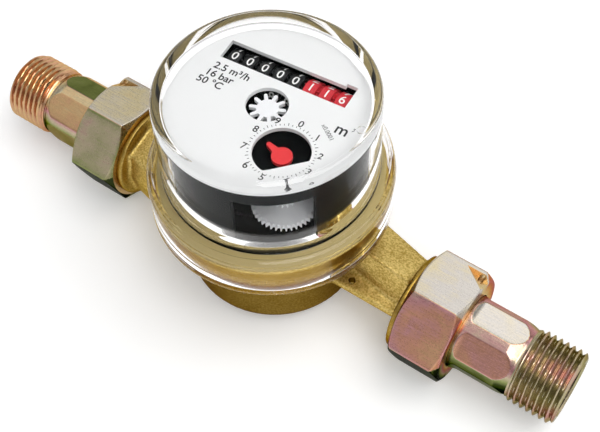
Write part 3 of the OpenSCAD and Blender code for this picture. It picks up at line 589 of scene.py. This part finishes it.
def threaded_tail(side):
    """A tail: collar, six milled flats on a round shank, tapered neck, and a right-hand pipe thread."""
    size = bpy.context.scene.meter_unions
    start, end = pipe_span(side, side + "_tailpiece")
    nut_outer = pipe_span(side, side + "_nut")[1]
    thread_start = end - size.thread_length
    pitch = size.thread_pitch
    root = size.thread_radius - size.thread_depth
    flat = size.shank_flats / 2
    roll = size.outlet_roll if side == "outlet" else -size.inlet_roll
    gap, hair = 0.4 * MM, 0.001 * MM
    flats_from = nut_outer + gap
    neck_from = thread_start - gap - size.neck
    drop = size.shank_radius - size.neck_radius
    run_out, run_out_rise, shank_edge = 2 * MM, 1.1 * MM, 0.12 * MM
    roundness, start_height, end_slope = 0.6, 0.35, 1.3

    def wave(x, turn):
        phase = (x / pitch - turn / (2 * math.pi)) % 1
        pointed = 1 - abs(2 * phase - 1)
        return roundness * (0.5 - 0.5 * math.cos(2 * math.pi * phase)) + (1 - roundness) * pointed

    def milled(x, turn):
        facet = (turn - roll) % (math.pi / 3) - math.pi / 6
        lift = max(1 - (x - flats_from) / run_out, 0)
        return (flat + run_out_rise * lift ** 2) / math.cos(facet)

    def turned(x):
        fall = max(x - neck_from, 0) / size.neck
        return size.shank_radius - drop * min(fall, 1) ** 1.4

    def radius(x, turn):
        if x < start + size.collar:
            return size.collar_radius
        if x < thread_start:
            return max(soft_min(milled(x, turn), turned(x), shank_edge), size.neck_radius)
        fade = min((x - thread_start) / (0.8 * pitch), 1)
        crest = root + size.thread_depth * (wave(x, turn) * fade + start_height * (1 - fade))
        return min(crest, root + (end - x) * end_slope)

    around, shank_steps, steps_a_turn = 216, 72, 12
    turns = [2 * math.pi * i / around for i in range(around)]
    stations = [start, start + size.collar - hair, start + size.collar + hair]
    shank = thread_start - hair - flats_from
    stations += [flats_from + shank * i / shank_steps for i in range(shank_steps + 1)]
    thread_steps = int(size.thread_length / pitch * steps_a_turn)
    stations += [thread_start + size.thread_length * i / thread_steps for i in range(thread_steps + 1)]
    inner_edge = 0.5 * MM
    bore = [(end, size.tail_bore + inner_edge), (end - inner_edge, size.tail_bore),
            (start + inner_edge, size.tail_bore), (start, size.tail_bore + inner_edge)]
    tail = pipe_turning(side + "_threaded_tail", side, stations, turns, radius, bore, sharp_deg=38)
    crest_film, groove_film, copper = THREAD_FILM_AND_SHADE[side]
    crest_from, streak_width, underside_shade_film, neck_reflection_depth = 0.6, 0.3, 0.93, 0.1

    def film(x, turn, r):
        # The bore is painted dark green as shade
        if r < size.neck_radius - 0.6 * MM and x < end - 2 * MM:
            return BORE_SHADE
        if x > thread_start:
            # Lighter crests and darker grooves are partly painted light and shade; the copper bands along the
            # top and front are partly a painted highlight
            toward_crest = clamp(((r - root) / size.thread_depth - crest_from) / (1 - crest_from))
            top, front = [math.exp(-((turn - at) / streak_width) ** 2) for at in (0.3, 1.5)]
            return groove_film + (crest_film - groove_film) * toward_crest - copper * (top + 0.8 * front)
        if milled(x, turn) < turned(x):
            # Each flat's film is partly painted light and shade
            return facet_film(TAIL_FILM_AND_SHADE[side], side, turn, roll)
        # The round strips darken toward the underside as painted shade
        under = clamp((WAY[side] * turn - 0.8) / 0.6)
        # Dark and pale bands round the neck are a painted reflection, like chrome
        neck_reflection = neck_reflection_depth * math.sin(5 * turn) if x > neck_from + 0.5 * MM else 0
        return ROUND_FILM[side] + (underside_shade_film - ROUND_FILM[side]) * under + neck_reflection

    paint_film(tail, side, film)
    return tail


def facet_film(films_and_shade, side, turn, roll):
    """Film depth of the flat at an angle, partly painted light and shade; the first value is the top flat's,
    then round by the front.
    """
    return films_and_shade[int(WAY[side] * (turn - roll) / (math.pi / 3) // 1 + 1) % 6]


def paint_film(piece, side, film, skin=None):
    """Store film(x, turn, radius), partly painted light and shade, on each corner, and CUT_FILM where a face
    was cut below the skin.
    """
    back = SIDES[side].inverted()
    bore_clear, skin_depth = 13.3 * MM, 0.08 * MM

    def polar(point):
        at = back @ point
        return at.x, math.atan2(-at.y, at.z), math.hypot(at.y, at.z)

    mesh = piece.data
    depth = mesh.attributes.new("film", "FLOAT", "CORNER")
    values = [film(*polar(vert.co)) for vert in mesh.vertices]
    for face in mesh.polygons:
        x, turn, r = polar(face.center)
        is_cut = skin is not None and bore_clear < r < skin(x, turn) - skin_depth
        for corner in face.loop_indices:
            depth.data[corner].value = CUT_FILM if is_cut else values[mesh.loops[corner].vertex_index]


def cover_outline():
    """Half-section of the clear cover, from the skirt up and back down inside, in metres."""
    brim, bottom = (COVER_HIGH.x - METER_X) / MM, COVER_LOW.z / MM
    wall, top, skirt_in, ledge, brim_top = 28.35, 55.9, 31.2, 24.5, 29.25
    fillet, shoulder, draft, rim, inner_round = 2.0, 2.65, 0.15, 1.7, 0.75
    inner, roof = wall - 2.4, top - 2.8
    edge, step, lip, shelf, groove = 0.4, 0.55, 0.22, 0.15, 0.12
    outer_wall, inner_wall = 22.9, 27.8
    spring = brim_top - shoulder
    points = [(skirt_in + edge, bottom)]
    points += arc((brim - edge, bottom + edge), (edge, edge), -90, 0, 6)
    points += [(brim, bottom + 1.1), (brim - groove, bottom + 1.25), (brim - groove, spring - 0.9)]
    points += [(brim, spring - 0.7), (brim, spring - 0.4)]
    foot = wall + fillet + step + 2 * shelf
    dome = arc((foot, spring), (brim - foot, shoulder - lip), 0, 90, 20)
    points += [(r - shelf * (i // 7), z) for i, (r, z) in enumerate(dome)]
    points += arc((wall + fillet + 0.2, brim_top - lip), (lip, lip), 0, 90, 4)
    points += arc((wall + fillet, brim_top + fillet), (fillet - draft, fillet), 270, 180, 14)[1:]
    points += [(wall + draft * (1 - i / 12), brim_top + fillet + outer_wall * i / 12) for i in range(1, 12)]
    points += arc((wall - rim, top - rim), (rim, rim), 0, 90, 16)
    points += [((wall - rim) * i / 8, top) for i in range(7, -1, -1)]
    points += [((inner - inner_round) * i / 8, roof) for i in range(9)]
    points += arc((inner - inner_round, roof - inner_round), (inner_round, inner_round), 90, 0, 8)[1:]
    points += [(inner, roof - inner_round - inner_wall * i / 14) for i in range(1, 14)]
    points += [(inner, ledge), (skirt_in - edge, ledge), (skirt_in, ledge - edge), (skirt_in, bottom + edge)]
    return [(r * MM, z * MM) for r, z in points]


def words_mesh(words, height, bold, align="CENTER"):
    """Closed mesh letters in the XY plane, set on the origin; a capital is 0.69 of the font's size."""
    curve = bpy.data.curves.new("words", "FONT")
    curve.body = words
    curve.size = height / 0.69
    curve.align_x = align
    curve.align_y = "CENTER"
    curve.extrude = INK
    curve.offset = bold
    curve.resolution_u = 4
    holder = link("words", curve)
    bpy.context.view_layer.update()
    graph = bpy.context.evaluated_depsgraph_get()
    mesh = bpy.data.meshes.new_from_object(holder.evaluated_get(graph))
    bpy.data.objects.remove(holder)
    bpy.data.curves.remove(curve)
    bm = bmesh.new()
    bm.from_mesh(mesh)
    bpy.data.meshes.remove(mesh)
    bmesh.ops.remove_doubles(bm, verts=bm.verts, dist=0.0005 * MM)
    return bm


def gather(name, parts):
    """One piece from several (bmesh, matrix) parts."""
    whole = bmesh.new()
    for part, place in parts:
        bmesh.ops.transform(part, matrix=place, verts=part.verts)
        mesh = bpy.data.meshes.new(name)
        part.to_mesh(mesh)
        part.free()
        whole.from_mesh(mesh)
        bpy.data.meshes.remove(mesh)
    return from_bmesh(name, whole)


def on_dial(x_mm, y_mm, turn_deg=0.0):
    """Matrix of a place on the dial's face, in the register's own axes."""
    place = Matrix.Translation((x_mm * MM, y_mm * MM, DIAL_FACE + INK))
    return REGISTER @ place @ Matrix.Rotation(math.radians(turn_deg), 4, "Z")


def tick_tree():
    """Node tree for a ring of thin ticks: one bar on each point of a circle, turned to face its middle."""
    tree = bpy.data.node_groups.new("tick_ring", "GeometryNodeTree")
    tree.interface.new_socket("Geometry", in_out="OUTPUT", socket_type="NodeSocketGeometry")
    for name, kind in [("Count", "Int"), ("Radius", "Float"), ("Length", "Float"), ("Width", "Float"),
                       ("Ink", "Material")]:
        tree.interface.new_socket(name, in_out="INPUT", socket_type="NodeSocket" + kind)
    given = node(tree, "NodeGroupInput").outputs
    circle = node(tree, "GeometryNodeMeshCircle", {"Vertices": given["Count"], "Radius": given["Radius"]})
    size = node(tree, "CombineXYZ", {"X": given["Length"], "Y": given["Width"], "Z": 2 * INK})
    tick = node(tree, "GeometryNodeMeshCube", {"Size": size})
    place = node(tree, "GeometryNodeInputPosition")
    aim = node(tree, "FunctionNodeAlignRotationToVector", {"Vector": place}, axis="X")
    ring = node(tree, "GeometryNodeInstanceOnPoints", {"Points": circle, "Instance": tick, "Rotation": aim})
    real = node(tree, "GeometryNodeRealizeInstances", {"Geometry": ring})
    inked = node(tree, "GeometryNodeSetMaterial", {"Geometry": real, "Material": given["Ink"]})
    node(tree, "NodeGroupOutput", {"Geometry": inked})
    return tree


def tick_ring(name, tree, place, ink, **values):
    """A ring of ticks as a plain mesh: the tree's inputs are set by name, then the modifier is applied."""
    ring = link(name, bpy.data.meshes.new(name))
    modifier = ring.modifiers.new("ticks", "NODES")
    sockets = {s.name: s.identifier for s in tree.interface.items_tree if s.in_out == "INPUT"}
    modifier.node_group = tree
    for socket, value in {**values, "Ink": ink}.items():
        modifier[sockets[socket]] = value
    apply_modifiers(ring)
    ring.data.transform(place)
    return ring


def dial_print():
    """Numbers, units and plain ratings on the dial's face: words, height, boldness and place, in mm."""
    x, y, r = [v / MM for v in (POINTER_AT.x, POINTER_AT.y, bpy.context.scene.meter_counter.scale_radius)]
    turns = [math.radians(90 - 36 * digit) for digit in range(10)]
    rows = [(str(i), 1.9, 0.03, x + r * math.cos(a), y + r * math.sin(a)) for i, a in enumerate(turns)]
    rows += [("m", 3.1, 0.05, 19.8, 1.5), ("3", 1.3, 0, 22.3, 2.9), ("x0.0001", 1.15, 0, 17.1, -0.7, -38)]
    parts = [(words_mesh(words, tall * MM, bold * MM), on_dial(*at)) for words, tall, bold, *at in rows]
    for words, *at in [("2.5 m³/h", -18.2, 5.0), ("16 bar", -19.0, 2.2), ("50 °C", -19.8, -0.6)]:
        parts.append((words_mesh(words, 2.1 * MM, 0.045 * MM, "LEFT"), on_dial(*at)))
    return gather("dial_print", parts)


def drum_numbers(index):
    """Ten raised-print digits round one drum, standing so that its digit of the reading shows."""
    counter = bpy.context.scene.meter_counter
    shown = int(counter.reading[DRUM_COUNT - index])
    middle = counter.drum_right - (index - 1) * counter.drum_pitch - counter.drum_width / 2
    slices, lift = 14, 0.015 * MM
    parts = []
    for digit in range(10):
        bm = words_mesh(str(digit), counter.digit_height, 0.03 * MM)
        for i in range(1, slices):
            level = counter.digit_height * (i / slices - 0.5)
            everything = bm.verts[:] + bm.edges[:] + bm.faces[:]
            bmesh.ops.bisect_plane(bm, geom=everything, plane_co=(0, level, 0), plane_no=(0, 1, 0))
        start = math.radians(36) * (digit - shown)
        for vert in bm.verts:
            turn = start + vert.co.y / counter.drum_radius
            r = counter.drum_radius + vert.co.z + lift
            vert.co = (middle + vert.co.x, COUNTER_Y + r * math.sin(turn), DRUM_Z + r * math.cos(turn))
        parts.append((bm, REGISTER))
    return gather(f"drum_numbers_{index}", parts)


class METER_OT_body(bpy.types.Operator):
    """Make the cast body, with the rounded edges of a casting."""

    bl_idname = "meter.body"
    bl_label = "Cast Body"

    def execute(self, context):
        body = cad_copy("cast_body", "meter_body")
        x, y = SEALING_HOLE
        holes = [Matrix.Translation((METER_X + way * x * MM, way * y * MM, 0)) for way in (1, -1)]
        # The holes are too fine for the remesh, so they are stopped up first and drilled again after it
        bm = bmesh.new()
        bm.from_mesh(body.data)
        for place in holes:
            bmesh.ops.create_cone(bm, cap_ends=True, segments=16, radius1=1.4 * MM, radius2=1.4 * MM,
                                  depth=2.4 * MM, matrix=place)
        bm.to_mesh(body.data)
        bm.free()
        remesh = body.modifiers.new("remesh", "REMESH")
        remesh.mode = "VOXEL"
        remesh.voxel_size = 0.56 * MM
        soften = body.modifiers.new("soften", "SMOOTH")
        soften.factor = 0.5
        soften.iterations = 4
        apply_modifiers(body)
        for place in holes:
            cut(body, rod_mesh("sealing_hole", 0.95 * MM, 5 * MM, place))
        smooth(body.data, 55)
        self.wear(body.data)
        settle(body, "meter", "brass", cast_brass(), "meter_body")
        return {"FINISHED"}

    def wear(self, mesh):
        """Mark painted shade on the cup, under the cover's skirt, and in the sealing holes, and where it is
        turned, at its collar and ports, whose darker colour is partly painted shade.
        """
        stained = mesh.attributes.new("stained", "FLOAT", "POINT")
        turned = mesh.attributes.new("turned", "FLOAT", "POINT")
        cup_radius, cup_top, collar_in, collar_low, collar_high, port_from = 26, 15, 29.5, 13, 23, 44.5
        for i, vert in enumerate(mesh.vertices):
            x, y, z = (vert.co - MIDDLE) / MM
            r = math.hypot(x, y)
            # Painted shade: the cup under the cover's skirt and the inside of the sealing holes are darkened
            cup = 0.75 * clamp((cup_radius - r) / 1.5) * clamp((cup_top - z) / 3)
            in_hole = math.hypot(abs(x) - SEALING_HOLE[0], abs(y) + SEALING_HOLE[1]) < 1
            stained.data[i].value = 1 if in_hole else cup
            collar = clamp(min(r - collar_in, z - collar_low, collar_high - z))
            port = clamp(abs(x) - port_from, 0.9)
            # Turned collar and ports, whose darker colour is partly painted shade
            turned.data[i].value = 0.8 * max(collar, port)


class METER_OT_unions(bpy.types.Operator):
    """Make both union nuts and both threaded tails."""

    bl_idname = "meter.unions"
    bl_label = "Union Nuts and Tails"

    def execute(self, context):
        nut_film = passivated_zinc("zinc_on_nuts", 0.07, 0.4, 0.3)
        tail_film = passivated_zinc("zinc_on_tails", 0.05, 0.5, 0.18)
        for side in SIDES:
            settle(union_nut(side), side + "_union", "passivated_zinc", nut_film, side + "_nut")
            settle(threaded_tail(side), "meter", "passivated_zinc", tail_film, side + "_tailpiece")
        return {"FINISHED"}


class METER_OT_cover(bpy.types.Operator):
    """Make the clear cover with the nub of its mould's gate."""

    bl_idname = "meter.cover"
    bl_label = "Clear Cover"

    def execute(self, context):
        cover = lathe("moulded_cover", cover_outline(), 256)
        at = Matrix.Rotation(math.radians(6), 4, "Z") @ Vector((25.55 * MM, 0, 0))
        at.z = COVER_HIGH.z - 0.4 * MM
        cut(cover, rod_mesh("nub", 1.1 * MM, 0.8 * MM, Matrix.Translation(MIDDLE + at)), "UNION")
        smooth(cover.data)
        edge = cover.data.attributes.new("edge", "FLOAT", "POINT")
        for i, vert in enumerate(cover.data.vertices):
            edge.data[i].value = self.edge_at((vert.co - MIDDLE) / MM)
        settle(cover, "meter", "clear_plastic", clear_polycarbonate(), "clear_cover")
        return {"FINISHED"}

    def edge_at(self, point):
        """How far the cover bends light, 0 to 1: most at the rim, least on the wall that the photo shows."""
        foot_top, shoulder_low, shoulder_top, fillet_top, rim_low, wall_in = 16.2, 25, 29.2, 33, 52.4, 24.4
        x, y, z = point
        r = math.hypot(x, y)
        if z < foot_top:
            return 0.4
        if z < shoulder_top:
            return clamp(0.25 * (z - shoulder_low), 0.75)
        brim = min((fillet_top - z) / 1.5, 0.3)
        rim = min((z - rim_low) / 0.8, (r - wall_in) / 0.8)
        to_front = (0.62 * x - 0.78 * y) / max(r, 1)
        back = min((0.3 - to_front) / 0.6, 1) * 0.25 if r > 24 else 0
        return clamp(max(brim, rim, back))


class METER_OT_dial(bpy.types.Operator):
    """Make the dial and its print."""

    bl_idname = "meter.dial"
    bl_label = "Dial"

    def execute(self, context):
        look = context.scene.meter_finishes
        dial = cad_copy("printed_dial", "dial_plate")
        settle(dial, "meter", "white_plastic", moulded("dial_white", look.dial, 0.4), "dial_plate")
        ink = moulded("printing_ink", look.print, 0.5)
        settle(dial_print(), "meter", "black_plastic", ink)
        radius = context.scene.meter_counter.tick_radius
        middle = on_dial(POINTER_AT.x / MM, POINTER_AT.y / MM)
        tree = tick_tree()
        for name, count, long in [("tenth_ticks", 10, 0.8 * MM), ("fiftieth_ticks", 50, 0.45 * MM)]:
            ring = tick_ring(name, tree, middle, ink, Count=count, Radius=radius + long / 2, Length=long,
                             Width=0.16 * MM)
            settle(ring, "meter", "black_plastic", ink)
        return {"FINISHED"}


class METER_OT_counter(bpy.types.Operator):
    """Make the number drums and their digits."""

    bl_idname = "meter.counter"
    bl_label = "Counter"

    def execute(self, context):
        look = context.scene.meter_finishes
        black = ("black_plastic", moulded("drum_black", look.drum_black, 0.4))
        red = ("red_plastic", moulded("drum_red", look.drum_red, 0.4))
        white = ("white_plastic", moulded("digit_white", linear("#F4F4F2"), 0.5))
        for index in range(1, DRUM_COUNT + 1):
            each = f"number_drum_{index}"
            finish = red if index <= RED_DRUMS else black
            settle(cad_copy(f"drum_{index}_moulding", each), f"drum_{index}", *finish, each)
            settle(drum_numbers(index), f"drum_{index}", *white)
        return {"FINISHED"}


class METER_OT_register(bpy.types.Operator):
    """Finish the register's housing, gears, star wheel and pointer."""

    bl_idname = "meter.register"
    bl_label = "Register"

    def execute(self, context):
        look = context.scene.meter_finishes
        white, grey, steel = shared_finishes()
        black = ("black_plastic", moulded("housing_black", look.housing, 0.45, 0.08))
        red = ("red_plastic", moulded("pointer_red", look.pointer, 0.35))
        pieces = [
            ("register_base", "meter", black), ("upper_plate", "meter", black),
            ("intermediate_gear", "first_wheel", black), ("pointer_gear", "pointer_wheel", white),
            ("star_wheel", "magnet_drive", white), ("pointer", "pointer_wheel", red),
            ("idler_gear", "idler_wheel", grey), ("worm_arbor", "worm_wheel_drive", grey),
            ("magnet_arbor", "magnet_drive", grey), ("frame_screws", "meter", steel),
            ("counter_shaft", "meter", steel), ("transfer_shaft", "meter", steel),
        ]
        pieces += [(f"transfer_pinion_{k}", f"transfer_{k}", white) for k in range(1, DRUM_COUNT)]
        for each, body, finish in pieces:
            settle(cad_copy(each + "_moulding", each), body, *finish, each)
        return {"FINISHED"}


class METER_OT_wet_side(bpy.types.Operator):
    """Finish the impeller, magnets, plate, seals and strainer inside the body."""

    bl_idname = "meter.wet_side"
    bl_label = "Wet Side"

    def execute(self, context):
        white, grey, steel = shared_finishes()
        rubber = ("rubber", moulded("seal_rubber", linear("#17181A"), 0.7))
        gum = ("gum_rubber", moulded("gum_rubber", linear("#A08036"), 0.55))
        ferrite = ("ferrite", bright_steel("sintered_ferrite", "#4A4848", 0.6))
        pieces = [
            ("impeller", "vane_wheel", white), ("impeller_magnet", "vane_wheel", ferrite),
            ("driven_magnet", "magnet_drive", ferrite), ("lower_pivot", "meter", steel),
            ("upper_pivot", "meter", steel), ("magnet_shield", "meter", steel),
            ("separating_plate", "meter", grey), ("plate_o_ring", "meter", rubber),
            ("cover_gasket", "meter", gum), ("inlet_gasket", "meter", rubber),
            ("outlet_gasket", "meter", rubber), ("inlet_strainer", "meter", white),
            ("clamp_ring", "meter", ("brass", cast_brass())),
        ]
        for each, body, finish in pieces:
            piece = settle(cad_copy(each + "_finish", each), body, *finish, each)
            if each == "cover_gasket":
                # Its top is pressed into the cover, because faces in one plane with it would show dark
                for vert in piece.data.vertices:
                    if vert.co.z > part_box(each)[1].z - 0.1 * MM:
                        vert.co.z += 0.03 * MM
        return {"FINISHED"}


class METER_OT_stage(bpy.types.Operator):
    """Set the floor, the soft light and the camera."""

    bl_idname = "meter.stage"
    bl_label = "Stage"

    def execute(self, context):
        stage = context.scene.meter_stage
        context.scene.view_settings.view_transform = "Standard"
        cycles = context.scene.cycles
        cycles.max_bounces = 24
        cycles.glossy_bounces = 16
        cycles.transmission_bounces = 24
        self.floor()
        self.sky(context, stage)
        aim = MIDDLE + Vector((0, 0, 0.02))
        softboxes = [
            ("key_softbox", (0.35, 0.1, 0.93), (0.7, 0.7), stage.key_power),
            ("front_softbox", (0.5, -0.45, 1), (0.6, 0.6), stage.front_power),
            ("back_softbox", (0, 0.96, 0.72), (0.7, 0.45), stage.back_power),
        ]
        for name, offset, size, energy in softboxes:
            light = bpy.data.lights.new(name, "AREA")
            light.shape = "RECTANGLE"
            light.size, light.size_y = size
            light.energy = energy
            link(name, light).matrix_world = self.facing(aim + Vector(offset), aim)
        camera = link("camera", bpy.data.cameras.new("camera"))
        camera.data.sensor_width = 36
        camera.data.lens = stage.lens
        camera.data.clip_start = 0.01
        view = self.facing(Vector(stage.camera_at), Vector(stage.camera_aim))
        camera.matrix_world = view @ Matrix.Rotation(stage.camera_roll, 4, "Z")
        context.scene.camera = camera
        return {"FINISHED"}

    def facing(self, place, aim):
        """Matrix of a lamp or camera that stands at a place and looks at another."""
        return Matrix.Translation(place) @ (aim - place).to_track_quat("-Z", "Y").to_matrix().to_4x4()

    def floor(self):
        """White paper, a little brighter to the camera and to shiny and clear pieces."""
        bm = bmesh.new()
        bmesh.ops.create_circle(bm, cap_ends=True, radius=4, segments=64)
        bmesh.ops.translate(bm, vec=(METER_X, 0, FLOOR_Z - 0.05 * MM), verts=bm.verts)
        floor = from_bmesh("floor", bm)
        paper, tree, shader = new_material("floor_paper", Base_Color=linear("#F4F4F4"), Roughness=0.9,
                                           Emission_Color=linear("#FFFFFF"))
        ray = node(tree, "LightPath").outputs
        seen = node(tree, "Math", {0: ray["Is Camera Ray"], 1: ray["Is Transmission Ray"]},
                    operation="MAXIMUM")
        glow = node(tree, "Math", {0: seen, 1: 0.16}, operation="MULTIPLY")
        glow = node(tree, "Math", {0: ray["Is Glossy Ray"], 1: 0.2, 2: glow}, operation="MULTIPLY_ADD")
        plug(tree, shader, {"Emission Strength": glow})
        floor.data.materials.append(paper)

    def sky(self, context, stage):
        """Soft light from above; shiny and clear pieces show a white studio with a darker band above it."""
        world = bpy.data.worlds.new("studio")
        context.scene.world = world
        world.use_nodes = True
        tree = world.node_tree
        place = node(tree, "TexCoord").outputs["Generated"]
        up = node(tree, "SeparateXYZ", {"Vector": place}).outputs["Z"]
        lit = node(tree, "MapRange", {"Value": up, "To Min": stage.sky_low, "To Max": stage.sky_top})
        # Brightness by height, for the lowest and the highest place and then those between
        levels = [(0.0, 0.9), (1.0, 0.95), (0.2, 0.8), (0.36, 0.4), (0.46, 0.4), (0.58, 0.85)]
        shown = node(tree, "ValToRGB", {"Fac": up}, [(z, (v, v, v, 1)) for z, v in levels])
        through = node(tree, "MapRange", {"Value": up, "To Min": 0.9, "To Max": 0.4})
        ray = node(tree, "LightPath").outputs
        shown = node(tree, "Mix", {"Factor": ray["Is Transmission Ray"], "A": shown, "B": through})
        seen = node(tree, "Math", {0: ray["Is Glossy Ray"], 1: ray["Is Transmission Ray"]}, operation="ADD")
        seen = node(tree, "Math", {0: seen, 1: ray["Is Camera Ray"]}, operation="MAXIMUM")
        first = node(tree, "Math", {0: ray["Diffuse Depth"], 1: 0.5}, operation="LESS_THAN")
        seen = node(tree, "Math", {0: seen, 1: first}, operation="MULTIPLY")
        strength = node(tree, "Mix", {"Factor": seen, "A": lit, "B": shown})
        plug(tree, tree.nodes["Background"], {"Color": linear("#FFFFFF"), "Strength": strength})


OPERATORS = [METER_OT_stage, METER_OT_body, METER_OT_unions, METER_OT_cover, METER_OT_dial,
             METER_OT_counter, METER_OT_register, METER_OT_wet_side]
GROUPS = {
    "meter_unions": MeterUnionSizes,
    "meter_finishes": MeterFinishes,
    "meter_stage": MeterStage,
    "meter_counter": MeterCounter,
}


class METER_PT_panel(bpy.types.Panel):
    """Lists the steps and the sizes in the sidebar."""

    bl_label = "Water Meter"
    bl_idname = "METER_PT_panel"
    bl_space_type = "VIEW_3D"
    bl_region_type = "UI"
    bl_category = "Water Meter"

    def draw(self, context):
        for group in GROUPS:
            for name in GROUPS[group].__annotations__:
                self.layout.prop(getattr(context.scene, group), name)
        for operator in OPERATORS:
            self.layout.operator(operator.bl_idname)


def register():
    """Register the classes and hang the property groups on the scene."""
    for each in [*GROUPS.values(), *OPERATORS, METER_PT_panel]:
        bpy.utils.register_class(each)
    for name, group in GROUPS.items():
        setattr(bpy.types.Scene, name, PointerProperty(type=group))


def unregister():
    """Undo register."""
    for name in GROUPS:
        delattr(bpy.types.Scene, name)
    for each in [METER_PT_panel, *reversed(OPERATORS), *reversed(GROUPS.values())]:
        bpy.utils.unregister_class(each)


def main():
    """Build every piece."""
    register()
    for operator in OPERATORS:
        group, name = operator.bl_idname.split(".")
        getattr(getattr(bpy.ops, group), name)()


if __name__ == "__main__":
    main()
